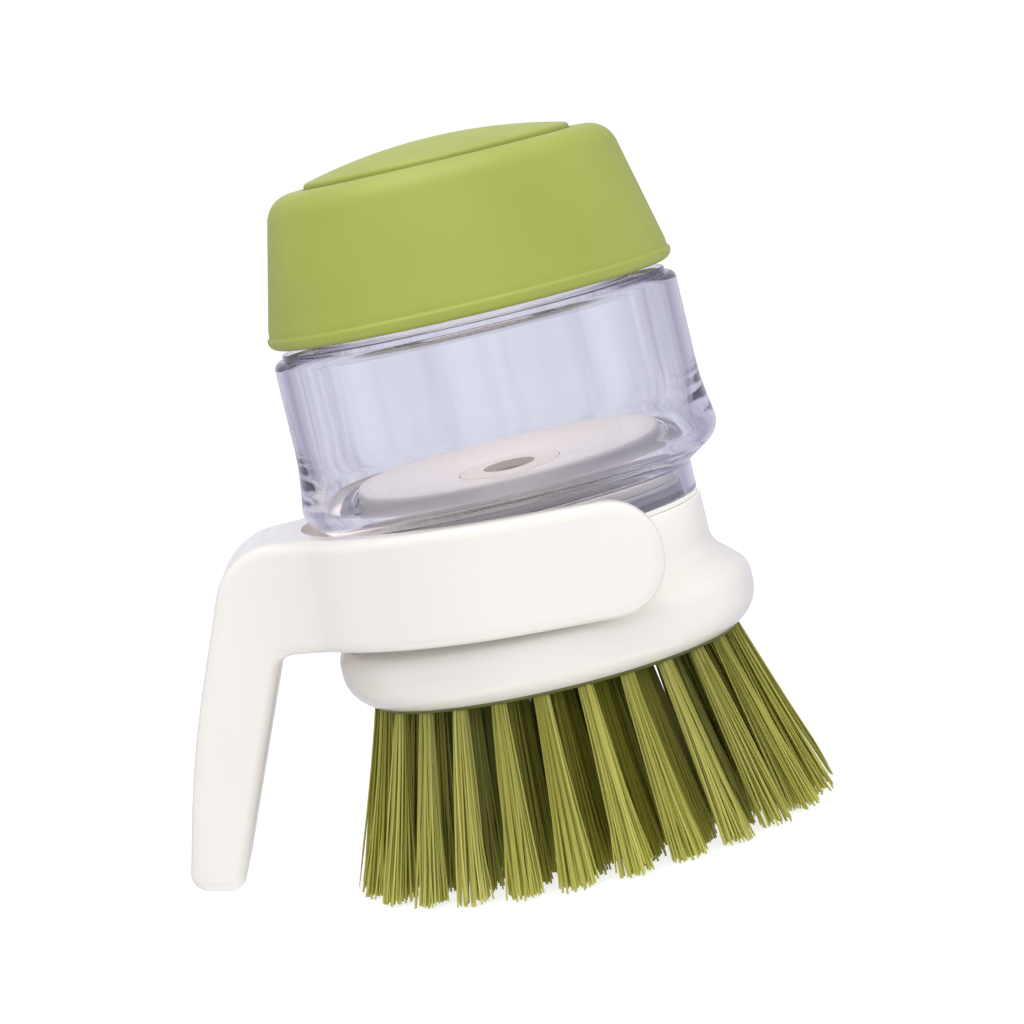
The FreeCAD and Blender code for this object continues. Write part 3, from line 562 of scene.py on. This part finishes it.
@dataclass
class CapAssembly:
    """The green cap, its push button and the silicone bellows under the button."""

    rim_radius: float = 37.95
    rim_z: float = 101.7
    top_z: float = 129.0
    top_radius: float = 31.8366
    slope: float = math.tan(math.radians(13.2))
    shoulder: float = 5.5
    band: float = 2.3
    band_step: float = 0.25
    band_round: float = 0.45
    rim_round: float = 1.8
    cove: float = 1.3
    cove_round: float = 0.6
    cove_foot: float = 0.25
    wall: float = 2.05
    roof: float = 2.2
    roof_round: float = 3.2
    hole: float = 25.1966
    hole_round: float = 0.3
    button_radius: float = 24.8966
    button_edge_z: float = 129.95
    button_round: float = 0.85
    button_crown: float = 3.1
    button_chords: int = 16
    button_flange: Point = (28.3966, 126.5)
    button_under_z: float = 124.7
    boss: Point = (8.0, 124.1)
    bellows_radius: float = 21.9966
    bellows_z: Point = (115.6, 124.0)
    bellows_wall: float = 1.2
    bellows_fold: float = 2.6
    bellows_creases: int = 4
    bellows_round: float = 0.3
    bellows_flange: float = 4.0
    button_travel: float = 4.0

    def side(self, z: float) -> float:
        """Return the radius of the cap's tapered side at a height."""
        return self.top_radius + (self.top_z - z) * self.slope

    def shell(self) -> bpy.types.Object:
        """Build the tapered shell with its rim band."""
        band_z = self.rim_z + self.band
        roof_z = self.top_z - self.roof
        piece = Turned("cap_cover", [
            Corner(self.hole, self.top_z, self.hole_round),
            Corner(self.top_radius, self.top_z, self.shoulder),
            Corner(self.side(band_z + self.cove), band_z + self.cove, self.cove_round),
            Corner(self.side(band_z) - self.band_step, band_z + self.band_step, self.cove_foot),
            Corner(self.rim_radius, band_z - self.band_step, self.band_round),
            Corner(self.rim_radius, self.rim_z, self.rim_round),
            Corner(self.side(self.rim_z) - self.wall, self.rim_z),
            Corner(self.side(roof_z) - self.wall, roof_z, self.roof_round),
            Corner(self.hole, roof_z, self.hole_round),
        ], segments=192, chord=7.0).build()
        smooth(piece)
        return hand_over(piece, Body.CAP, SOFT_TOUCH_GREEN, "cap_shell")

    def button(self) -> bpy.types.Object:
        """Build the domed button with its stop flange and boss."""
        sphere = (self.button_radius ** 2 + self.button_crown ** 2) / (2 * self.button_crown)
        centre = (0.0, self.button_edge_z + self.button_crown - sphere)
        edge_angle = math.degrees(math.asin((self.button_edge_z - centre[1]) / sphere))
        dome = arc(centre, sphere, 90.0, edge_angle, self.button_chords)
        flange, flange_z = self.button_flange
        piece = Turned("push_disc", dome[:-1] + [
            Corner(self.button_radius, self.button_edge_z, self.button_round),
            Corner(self.button_radius, flange_z),
            Corner(flange, flange_z),
            Corner(flange, self.button_under_z),
            Corner(self.boss[0], self.button_under_z),
            Corner(self.boss[0], self.boss[1]),
            Corner(0.0, self.boss[1]),
        ], segments=192).build()
        smooth(piece)
        return hand_over(piece, Body.BUTTON, SOFT_TOUCH_GREEN, "push_button")

    def bellows(self) -> bpy.types.Object:
        """Build the folded bellows under the button."""
        low, high = self.bellows_z
        flange_top = low + self.bellows_wall
        creases = self.bellows_creases
        rise = (high - self.bellows_wall - flange_top) / creases
        waist = self.bellows_radius - self.bellows_fold
        rim = self.bellows_radius + self.bellows_flange
        folds = [Corner(waist if step % 2 else self.bellows_radius, flange_top + rise * step,
                        self.bellows_round if 0 < step < creases else 0.0) for step in range(creases + 1)]
        outer = [Corner(rim, low), Corner(rim, flange_top), *folds]
        outer += [Corner(self.bellows_radius, high), Corner(0.0, high), Corner(0.0, high - self.bellows_wall)]
        inner = [Corner(fold.r - self.bellows_wall, fold.z, fold.bend) for fold in folds]
        foot = Corner(self.bellows_radius - self.bellows_wall, low)
        piece = Turned("bellows_cup", outer + inner[::-1] + [foot], segments=96).build()
        smooth(piece)
        hand_over(piece, Body.CAP, SILICONE, "pump_bellows")
        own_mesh(piece)
        return piece

    def build(self) -> None:
        """Build the cap's pieces."""
        self.shell()
        self.button()
        self.bellows()


@dataclass
class TankAssembly:
    """The clear tank, the washer below its neck and the seal inside it."""

    radius: float = 37.85
    base_radius: float = 39.5
    neck: float = 32.8
    bore: float = 30.2
    mouth: float = 29.5
    mouth_bore: float = 27.1
    bottom_z: float = 59.6
    base_z: float = 65.0
    knee_z: float = 69.4
    flare_z: float = 79.5
    shoulder_z: float = 99.6
    ledge_z: float = 100.6
    top_z: float = 112.6
    ledge_radius: float = 36.0
    inner: float = 35.4
    roof_z: float = 98.3
    lip: float = 32.65
    lip_z: float = 69.3
    trough_z: float = 67.83
    trough_rim_z: float = 69.63
    mouth_round: float = 0.6
    root_round: float = 0.8
    ledge_round: float = 0.33
    shoulder_round: float = 1.6
    flare_round: float = 45.0
    knee_round: float = 4.5
    neck_root_round: float = 0.87
    neck_end_round: float = 0.52
    lip_round: float = 0.4
    trough_round: float = 1.2
    roof_round: float = 0.5
    thread_rise: float = 0.9
    mouth_thread_z: float = 104.6
    bore_thread_z: float = 64.7
    bore_thread_turns: float = 0.9
    thread_crease: float = 32.0
    washer_bore: float = 30.4
    washer_z: float = 58.6
    washer_rounds: Point = (0.12, 0.25)
    seal_outline: tuple[Corner, ...] = (
        Corner(27.95, 60.2), Corner(29.4, 60.2, 0.1), Corner(30.1, 60.75, 0.2), Corner(29.5, 61.45, 0.2),
        Corner(30.1, 62.15, 0.2), Corner(29.4, 62.7, 0.1), Corner(27.95, 62.7),
    )

    def shell(self) -> bpy.types.Object:
        """Build the clear shell with a screw thread at each end."""
        piece = Turned("soap_tank", [
            Corner(self.mouth, self.top_z, self.mouth_round),
            Corner(self.mouth, self.ledge_z, self.root_round),
            Corner(self.ledge_radius, self.ledge_z, self.ledge_round),
            Corner(self.ledge_radius, self.shoulder_z),
            Corner(self.radius, self.shoulder_z, self.shoulder_round),
            Corner(self.radius, self.flare_z, self.flare_round),
            Corner(self.base_radius, self.knee_z, self.knee_round),
            Corner(self.neck, self.base_z, self.neck_root_round),
            Corner(self.neck, self.bottom_z, self.neck_end_round),
            Corner(self.bore, self.bottom_z),
            Corner(self.bore, self.lip_z, self.lip_round),
            Corner(self.lip, self.lip_z, self.lip_round),
            Corner(self.lip, self.trough_z, self.lip_round),
            Corner(self.inner, self.trough_rim_z, self.trough_round),
            Corner(self.inner, self.roof_z, self.roof_round),
            Corner(self.mouth_bore, self.roof_z, self.root_round),
            Corner(self.mouth_bore, self.top_z, self.mouth_round),
        ], segments=192, chord=5.0).build()
        Thread(self.mouth, self.thread_rise, self.mouth_thread_z, 1.0, 0.0).grow_on(piece)
        Thread(self.bore, -self.thread_rise, self.bore_thread_z, self.bore_thread_turns, 180.0).grow_on(piece)
        smooth(piece, self.thread_crease)
        return hand_over(piece, Body.TANK, CLEAR_TANK, "tank", "tank_top", "tank_base")

    def washer(self) -> bpy.types.Object:
        """Build the flat washer between the head's collar and the neck."""
        inside, outside = self.washer_rounds
        piece = Turned("collar_washer", [
            Corner(self.washer_bore, self.washer_z, inside),
            Corner(self.neck, self.washer_z, outside),
            Corner(self.neck, self.bottom_z, outside),
            Corner(self.washer_bore, self.bottom_z, inside),
        ], segments=128, chord=20.0).build()
        smooth(piece)
        return hand_over(piece, Body.WASHER, SILICONE, "neck_washer")

    def seal(self) -> bpy.types.Object:
        """Build the grey plug seal with its two lips."""
        piece = Turned("lip_seal", list(self.seal_outline), segments=128, chord=20.0).build()
        smooth(piece)
        return hand_over(piece, Body.HEAD, SEAL_GREY, "plug_seal")

    def build(self) -> None:
        """Build the tank's pieces."""
        self.shell()
        self.washer()
        self.seal()


@dataclass
class HeadAssembly:
    """The glossy white head: flange, collar and the threaded plug that floors the tank."""

    flange: float = 39.1
    flange_top_z: float = 43.9
    flange_round: float = 4.5
    belly: float = 7.0
    belly_chords: int = 14
    pocket: float = 35.2
    pocket_z: float = 40.4
    neck: float = 33.2
    neck_foot_z: float = 49.2
    neck_foot_round: float = 5.0
    collar_z: float = 58.6
    collar_round: float = 0.3
    plug: float = 29.0
    plug_round: float = 0.9
    groove: float = 27.95
    groove_z: Point = (60.2, 62.8)
    plug_top_z: float = 71.0
    floor_rim: float = 26.4
    floor_rim_round: float = 0.6
    floor_z: float = 68.4
    seat: float = 9.633
    seat_round: float = 0.15
    seat_z: float = 66.0
    bore: float = 5.0
    thread_rise: float = 0.9
    thread_z: float = 64.7

    def shell(self) -> bpy.types.Object:
        """Build the head with its plug's thread."""
        centre = (self.flange - self.belly, self.pocket_z)
        start = -math.degrees(math.acos((self.pocket - centre[0]) / self.belly))
        piece = Turned("brush_body", [
            Corner(self.bore, self.pocket_z),
            Corner(self.pocket, self.pocket_z),
            *arc(centre, self.belly, start, 0.0, self.belly_chords),
            Corner(self.flange, self.flange_top_z, self.flange_round),
            Corner(self.neck, self.neck_foot_z, self.neck_foot_round),
            Corner(self.neck, self.collar_z, self.collar_round),
            Corner(self.plug, self.collar_z),
            Corner(self.plug, self.groove_z[0]),
            Corner(self.groove, self.groove_z[0]),
            Corner(self.groove, self.groove_z[1]),
            Corner(self.plug, self.groove_z[1]),
            Corner(self.plug, self.plug_top_z, self.plug_round),
            Corner(self.floor_rim, self.plug_top_z, self.floor_rim_round),
            Corner(self.seat, self.floor_z, self.seat_round),
            Corner(self.seat, self.seat_z),
            Corner(self.bore, self.seat_z),
        ], segments=192, chord=6.0).build()
        Thread(self.plug, self.thread_rise, self.thread_z, 1.0, 0.0).grow_on(piece)
        smooth(piece)
        return hand_over(piece, Body.HEAD, GLOSS_WHITE, "brush_head")

    def build(self) -> None:
        """Build the head."""
        self.shell()


@dataclass
class TuftRing:
    """One ring of tufts: its node, where its tufts are rooted, how thick they are, and how light they are
    painted; inner rings get painted shade.
    """

    node: str
    radius: float
    lean: float
    count: int
    stagger: float
    root_radius: float = 1.6
    # Below 1, the ring's filaments are painted darker as painted shade for tufts inside the brush.
    painted_light_level: float = 0.3


@dataclass
class BristleField:
    """Rings of tufts, each a bundle of loose filaments that fans out to its trimmed end."""

    STRAND = "strand"
    ALONG = "along"

    root_z: float = 33.4
    root_depth: float = 2.6
    tip_radius: float = 3.3
    flare: float = 1.65
    filaments: int = 72
    thickness: float = 0.22
    tip_thickness: float = 0.19
    sides: int = 4
    segments: int = 5
    ragged: float = 0.675
    trim: Point = (0.02, 2.6)
    root_jitter: float = 0.04
    tip_jitter: float = 0.3
    fan_range: Point = (0.82, 1.12)
    wander: float = 0.55
    bow_height: float = 2.0
    tuft_shade: float = 0.25
    strand_skew: Point = (1.4, 3.2)
    widest: float = 45.5
    crease: float = 60.0
    seed: int = 20
    rings: list[TuftRing] = field(default_factory=lambda: [
        # The outer ring is painted at full light; the inner rings keep 0.3, which is painted shade.
        TuftRing("tuft_ring_1", 33.1, 15.4, 26, 0.0, 1.2, 1.0),
        TuftRing("tuft_ring_2", 27.15, 12.73, 21, 180.0 / 21),
        TuftRing("tuft_ring_3", 21.21, 10.01, 16, 0.0),
        TuftRing("tuft_ring_4", 15.26, 7.24, 12, 180.0 / 12),
        TuftRing("tuft_ring_5", 9.31, 4.43, 7, 0.0),
    ])

    def filament(self) -> tuple[np.ndarray, list[list[int]]]:
        """Model one filament of unit length and thickness along +Z.

        Returns:
            Its points, and its faces as point numbers.
        """
        bpy.ops.object.select_all(action="DESELECT")
        bpy.ops.mesh.primitive_circle_add(vertices=self.sides, radius=1.0, fill_type="NOTHING")
        strand = bpy.context.object
        bpy.ops.object.mode_set(mode="EDIT")
        bpy.ops.mesh.select_all(action="SELECT")
        rise = (0.0, 0.0, 1.0 / self.segments)
        for _ in range(self.segments):
            bpy.ops.mesh.extrude_region_move(TRANSFORM_OT_translate={"value": rise})
        bpy.ops.mesh.edge_face_add()
        bpy.ops.mesh.select_all(action="SELECT")
        bpy.ops.mesh.normals_make_consistent(inside=False)
        bpy.ops.object.mode_set(mode="OBJECT")
        points = np.empty(len(strand.data.vertices) * 3)
        strand.data.vertices.foreach_get("co", points)
        faces = [list(face.vertices) for face in strand.data.polygons]
        bpy.data.objects.remove(strand, do_unlink=True)
        return points.reshape(-1, 3), faces

    def tuft(self, draw: np.random.Generator,
             root_radius: float) -> tuple[np.ndarray, np.ndarray, np.ndarray]:
        """Lay out one tuft's filaments in its own frame, root at the origin and free end towards -Z.

        Args:
            draw: The source of the tuft's chance.
            root_radius: The bundle's radius at its root.

        Returns:
            Root points, tip points (both in millimetres across the tuft) and side bows, one row per filament.
        """
        order = np.arange(self.filaments) + 0.5
        reach = np.sqrt(order / self.filaments)
        angle = order * GOLDEN_ANGLE + draw.uniform(0, FULL_TURN)
        across = np.stack([np.cos(angle), np.sin(angle)], axis=1) * reach[:, None]
        root = across * root_radius + draw.normal(0, self.root_jitter, across.shape)
        spread = self.tip_radius * draw.uniform(*self.fan_range, (self.filaments, 1))
        tip = across * spread + draw.normal(0, self.tip_jitter, across.shape)
        bow = draw.normal(0, self.wander, across.shape)
        return root, tip, bow

    def strand_points(self, ring: TuftRing, unit: np.ndarray, root: np.ndarray, tip: np.ndarray,
                      bow: np.ndarray, end_z: float) -> np.ndarray:
        """Bend the unit filament to its place in the tuft that leans towards +X.

        Args:
            ring: The tuft's ring.
            unit: The unit filament's points.
            root: The filament's root across the tuft.
            tip: Its tip across the tuft.
            bow: How far its middle bows out across the tuft.
            end_z: The height that it is trimmed to.

        Returns:
            Its points in millimetres.
        """
        lean = math.radians(ring.lean)
        axis = np.array([math.sin(lean), 0.0, -math.cos(lean)])
        across = np.array([[math.cos(lean), 0.0, math.sin(lean)], [0.0, 1.0, 0.0]])
        along = unit[:, 2:]
        hole = np.array([ring.radius, 0.0, self.root_z])
        start = hole - axis * self.root_depth + root @ across
        foot = hole + axis * (self.root_z / math.cos(lean)) + tip @ across
        run = foot - start
        run = run * ((start[2] - end_z) / -run[2])
        arch = along * (1 - along) * self.bow_height
        fan = along ** self.flare - along
        girth = self.thickness + (self.tip_thickness - self.thickness) * along
        middle = start + run * along + arch * (bow @ across) + fan * ((tip - root) @ across)
        return middle + (unit[:, :2] @ across) * girth

    def ring_points(self, ring: TuftRing, draw: np.random.Generator,
                    unit: np.ndarray) -> tuple[np.ndarray, np.ndarray]:
        """Lay out all the filaments of a ring.

        Args:
            ring: The ring.
            draw: The source of the ring's chance.
            unit: One filament's points.

        Returns:
            The points of all the filaments in millimetres, and the shade of each filament.
        """
        points: list[np.ndarray] = []
        shades: list[np.ndarray] = []
        for number in range(ring.count):
            root, tip, bow = self.tuft(draw, ring.root_radius)
            turn = math.radians(ring.stagger + 360.0 * number / ring.count)
            spin = np.array(Matrix.Rotation(turn, 3, "Z"))
            end_z = np.abs(draw.normal(0.0, self.ragged, self.filaments)).clip(*self.trim)
            shade = draw.uniform(0.0, 1.0) * self.tuft_shade
            shades.append(shade + draw.beta(*self.strand_skew, self.filaments) * (1 - self.tuft_shade))
            for row in zip(root, tip, bow, end_z):
                points.append(self.strand_points(ring, unit, *row) @ spin.T)
        flat = np.concatenate(points)
        flat[:, 2] = flat[:, 2].clip(0.0, None)
        reach = np.hypot(flat[:, 0], flat[:, 1])[:, None]
        flat[:, :2] *= np.minimum(1.0, self.widest / reach)
        return flat, np.concatenate(shades)

    def ring_mesh(self, ring: TuftRing, draw: np.random.Generator, unit: np.ndarray,
                  faces: list[list[int]]) -> bpy.types.Object:
        """Build one ring's filaments as one piece.

        Args:
            ring: The ring.
            draw: The source of the ring's chance.
            unit: One filament's points.
            faces: One filament's faces.

        Returns:
            The ring's object, with each filament's shade and each point's place along it as attributes, both
            scaled down by the ring's painted light level as painted shade.
        """
        points, shades = self.ring_points(ring, draw, unit)
        count = len(shades)
        links = np.array([vertex for face in faces for vertex in face])
        starts = np.cumsum([0] + [len(face) for face in faces])[:-1]
        firsts = np.arange(count)[:, None]
        mesh = bpy.data.meshes.new(f"filaments_{ring.node}")
        mesh.vertices.add(len(points))
        mesh.vertices.foreach_set("co", (points * MM).ravel())
        mesh.loops.add(len(links) * count)
        mesh.loops.foreach_set("vertex_index", (links + firsts * len(unit)).ravel())
        mesh.polygons.add(len(faces) * count)
        mesh.polygons.foreach_set("loop_start", (starts + firsts * len(links)).ravel())
        mesh.update(calc_edges=True)
        # Both marks are scaled by the ring's painted light level, so the inner rings get painted shade.
        marks = {
            self.STRAND: np.repeat(shades * ring.painted_light_level, len(unit)),
            self.ALONG: np.tile(unit[:, 2] * ring.painted_light_level, count),
        }
        for name, values in marks.items():
            mesh.attributes.new(name, "FLOAT", "POINT").data.foreach_set("value", values)
        piece = bpy.data.objects.new(f"filaments_{ring.node}", mesh)
        bpy.context.collection.objects.link(piece)
        return piece

    def build(self) -> None:
        """Build every ring of tufts."""
        unit, faces = self.filament()
        draw = np.random.default_rng(self.seed)
        for ring in self.rings:
            piece = self.ring_mesh(ring, draw, unit, faces)
            smooth(piece, self.crease)
            hand_over(piece, Body.HEAD, BRISTLE_GREEN, ring.node)


@dataclass
class CarriedNodes:
    """The model's own solids that show as they are, with the finish each one gets."""

    finishes: dict[str, Finish] = field(default_factory=lambda: {
        "stand": GLOSS_WHITE,
        "feed_tube": GLOSS_WHITE,
        "cap_insert": INNER_WHITE,
        "bellows_ring": INNER_WHITE,
        "valve_retainer": INNER_WHITE,
        "cap_gasket": SILICONE,
        # slit_valve gets the dark taupe of painted shade instead of its pale silicone.
        "slit_valve": VALVE_PAINTED_SHADE,
        "tuft_block": BLOCK_OLIVE,
        "tuft_anchors": STAPLE_STEEL,
    })

    def dress(self, nodes: dict[str, bpy.types.Object]) -> None:
        """Give each carried solid its finish.

        Args:
            nodes: The model's objects by node name.
        """
        for name, finish in self.finishes.items():
            slots = nodes[name].material_slots
            for slot in slots:
                slot.material = finish.material()
            LOG.info("%s: carried over with %d material slots", name, len(slots))


# Studio


@dataclass
class Studio:
    """A white sweep, soft light from above and the photograph's camera."""

    eye: Place = (-0.00155, -0.674, 0.141)
    aim: Place = (-0.00155, 0.0, 0.06246)
    roll: float = 13.41
    lens: float = 129.02
    sensor: float = 36.0
    near: float = 0.01
    light_paths: int = 24
    sky: float = 1.0
    ground: float = 1.16
    horizon: Point = (-0.3, -0.02)
    floor_size: float = 12.0
    floor_z: float = -0.0002
    floor_pale: Colour = (0.31, 0.31, 0.31)
    floor_dark: Colour = (0.29, 0.29, 0.29)
    floor_glow: float = 0.78
    floor_roughness: float = 0.9
    cloud_scale: float = 3.0
    cloud_layers: float = 2.0
    shade_place: Place = (-0.95, 0.05, 0.2)
    shade_size: Point = (0.6, 1.2)
    shade_pale: Colour = (0.14, 0.13, 0.17)
    shade_dark: Colour = (0.08, 0.08, 0.10)
    screen_radius: float = 0.36
    screen_height: float = 1.0
    screen_z: float = 0.1
    screen_sides: int = 128
    screen_waves: int = 4
    screen_pale: Colour = (0.81, 0.82, 0.91)
    screen_dark: Colour = (0.40, 0.38, 0.50)
    streak_scale: float = 70.0
    streak_layers: float = 3.0
    streak_stretch: Place = (1.0, 1.0, 0.04)
    streak_shift: float = 1.1
    top_power: float = 4.4
    top_size: float = 0.9
    top_place: Place = (-0.1, -0.25, 1.0)
    top_tilt: Point = (-14.0, -6.0)
    strip_place: Place = (-0.1, -1.1, 0.5)
    strip_size: Point = (0.9, 0.06)
    strip_power: float = 1.0
    glow_colour: Colour = (1.0, 0.93, 0.88)
    tank_glow_z: float = 0.0965
    tank_glow_radius: float = 0.033
    tank_glow_power: float = 0.016
    gap_glow_z: float = 0.0652
    gap_glow_radius: float = 0.0385
    gap_glow_power: float = 0.027

    def camera(self) -> None:
        """Place the camera at the photograph's view, rolled as the brush leans there."""
        eye, aim = Vector(self.eye), Vector(self.aim)
        ahead = (aim - eye).normalized()
        right = ahead.cross(Vector((0.0, 0.0, 1.0))).normalized()
        up = right.cross(ahead)
        roll = math.radians(self.roll)
        across = right * math.cos(roll) - up * math.sin(roll)
        above = right * math.sin(roll) + up * math.cos(roll)
        data = bpy.data.cameras.new("photo_camera")
        data.lens = self.lens
        data.sensor_width = self.sensor
        data.sensor_fit = "HORIZONTAL"
        data.clip_start = self.near
        camera = bpy.data.objects.new("photo_camera", data)
        camera.matrix_world = Matrix.Translation(eye) @ Matrix((across, above, -ahead)).transposed().to_4x4()
        bpy.context.collection.objects.link(camera)
        bpy.context.scene.camera = camera

    def world(self) -> None:
        """Fill the room with white light that is a little stronger from below."""
        world = bpy.data.worlds.new("white_room")
        world.use_nodes = True
        background = world.node_tree.nodes["Background"]
        background.inputs["Color"].default_value = WHITE
        nodes, links = world.node_tree.nodes, world.node_tree.links
        place = nodes.new("ShaderNodeTexCoord")
        split = nodes.new("ShaderNodeSeparateXYZ")
        fade = nodes.new("ShaderNodeMapRange")
        fade.inputs["From Min"].default_value = self.horizon[0]
        fade.inputs["From Max"].default_value = self.horizon[1]
        fade.inputs["To Min"].default_value = self.ground
        fade.inputs["To Max"].default_value = self.sky
        links.new(place.outputs["Generated"], split.inputs["Vector"])
        links.new(split.outputs["Z"], fade.inputs["Value"])
        links.new(fade.outputs["Result"], background.inputs["Strength"])
        bpy.context.scene.world = world
        bpy.context.scene.view_settings.view_transform = "Standard"
        cycles = bpy.context.scene.cycles
        cycles.max_bounces = self.light_paths
        cycles.glossy_bounces = self.light_paths
        cycles.transmission_bounces = self.light_paths

    def floor(self) -> None:
        """Lay the pale floor that the bristles stand on."""
        bpy.ops.object.select_all(action="DESELECT")
        bpy.ops.mesh.primitive_plane_add(size=self.floor_size, location=(0.0, 0.0, self.floor_z))
        floor = bpy.context.object
        floor.name = "pale_floor"
        bench = NodeBench("pale_floor")
        cloud = bench.ranged(bench.noise(self.cloud_scale, self.cloud_layers), 0.0, 1.0)
        bench.join(bench.mixed(cloud, self.floor_pale, self.floor_dark), bench.shader.inputs["Base Color"])
        bench.fix(Roughness=self.floor_roughness, Emission_Strength=self.floor_glow)
        bench.shader.inputs["Emission Color"].default_value = WHITE
        floor.data.materials.append(bench.material)
        floor.visible_diffuse = False
        floor.visible_glossy = False
        floor.visible_transmission = False

    def unseen(self, sheet: bpy.types.Object, bench: NodeBench, colour: bpy.types.NodeSocket) -> None:
        """Give a studio sheet its own light and hide it from the camera.

        Args:
            sheet: The sheet.
            bench: Its material.
            colour: The socket with the colour of its light.
        """
        bench.join(colour, bench.shader.inputs["Emission Color"])
        bench.fix(Emission_Strength=1.0, Roughness=1.0, Specular_IOR_Level=0.0)
        bench.shader.inputs["Base Color"].default_value = BLACK
        sheet.data.materials.append(bench.material)
        sheet.visible_camera = False

    def shade_card(self) -> None:
        """Stand a dark card far to the left, which dims the light on that side of the brush."""
        bpy.ops.object.select_all(action="DESELECT")
        bpy.ops.mesh.primitive_plane_add(size=1.0, location=self.shade_place)
        card = bpy.context.object
        card.name = "shade_card"
        card.rotation_euler.y = FULL_TURN / 4
        card.scale = (self.shade_size[1], self.shade_size[0], 1.0)
        bench = NodeBench("shade_card")
        cloud = bench.ranged(bench.noise(self.cloud_scale, self.cloud_layers), 0.0, 1.0)
        self.unseen(card, bench, bench.mixed(cloud, self.shade_pale, self.shade_dark))

    def screen(self) -> None:
        """Stand a lavender screen round the brush, pale and dark by turns, seen only in glass and gloss."""
        bpy.ops.object.select_all(action="DESELECT")
        bpy.ops.mesh.primitive_cylinder_add(vertices=self.screen_sides, radius=self.screen_radius,
                                            depth=self.screen_height, end_fill_type="NOTHING",
                                            location=(0.0, 0.0, self.screen_z))
        screen = bpy.context.object
        screen.name = "lavender_screen"
        bench = NodeBench("lavender_screen")
        place = bench.add("ShaderNodeTexCoord")
        turn = bench.add("ShaderNodeTexGradient", gradient_type="RADIAL")
        angle = bench.add("ShaderNodeMath", operation="MULTIPLY_ADD")
        angle.inputs[1].default_value = self.screen_waves * FULL_TURN
        wave = bench.add("ShaderNodeMath", operation="COSINE")
        fade = bench.add("ShaderNodeMapRange")
        fade.inputs["From Min"].default_value = 1.0
        fade.inputs["From Max"].default_value = -1.0
        bench.join(place.outputs["Object"], turn.inputs["Vector"])
        bench.join(turn.outputs["Fac"], angle.inputs[0])
        streak = bench.noise(self.streak_scale, self.streak_layers, self.streak_stretch)
        bench.join(bench.ranged(streak, -self.streak_shift, self.streak_shift), angle.inputs[2])
        bench.join(angle.outputs["Value"], wave.inputs[0])
        bench.join(wave.outputs["Value"], fade.inputs["Value"])
        self.unseen(screen, bench, bench.mixed(fade.outputs["Result"], self.screen_pale, self.screen_dark))
        screen.visible_diffuse = False
        screen.visible_shadow = False

    def area_light(self, name: str, shape: str, size: float, power: float, place: Place) -> bpy.types.Object:
        """Hang an area light that faces down.

        Args:
            name: The light's name.
            shape: Its shape, as Blender names it.
            size: Its width.
            power: Its power in watts.
            place: Its centre.

        Returns:
            The light.
        """
        data = bpy.data.lights.new(name, "AREA")
        data.shape = shape
        data.size = size
        data.energy = power
        light = bpy.data.objects.new(name, data)
        light.location = place
        bpy.context.collection.objects.link(light)
        return light

    def lights(self) -> None:
        """Hang a soft light above, a thin one in front for the gloss and two faint ones by the tank."""
        top = self.area_light("top_softbox", "SQUARE", self.top_size, self.top_power, self.top_place)
        top.rotation_euler = (math.radians(self.top_tilt[0]), math.radians(self.top_tilt[1]), 0.0)
        length, depth = self.strip_size
        strip = self.area_light("front_strip", "RECTANGLE", length, self.strip_power, self.strip_place)
        strip.data.size_y = depth
        facing = Vector((0.0, 0.0, self.screen_z)) - Vector(self.strip_place)
        strip.rotation_euler = facing.to_track_quat("-Z", "Y").to_euler()
        self.glow("tank_glow", self.tank_glow_z, self.tank_glow_radius, self.tank_glow_power)
        self.glow("gap_glow", self.gap_glow_z, self.gap_glow_radius, self.gap_glow_power)

    def glow(self, name: str, height: float, radius: float, power: float) -> None:
        """Put a faint unseen disc of light where light comes in through the clear tank.

        Args:
            name: The light's name.
            height: Its height.
            radius: Its radius.
            power: Its power in watts.
        """
        glow = self.area_light(name, "DISK", 2 * radius, power, (0.0, 0.0, height))
        glow.data.color = self.glow_colour
        glow.visible_camera = False
        glow.visible_glossy = False
        glow.visible_transmission = False

    def build(self) -> None:
        """Build the room round the brush."""
        self.camera()
        self.world()
        self.floor()
        self.shade_card()
        self.screen()
        self.lights()


def main() -> None:
    logging.basicConfig(level=logging.INFO, format="%(name)s %(message)s")
    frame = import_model()
    Studio().build()
    CapAssembly().build()
    TankAssembly().build()
    HeadAssembly().build()
    BristleField().build()
    CarriedNodes().dress(frame["nodes"])


if __name__ == "__main__":
    main()
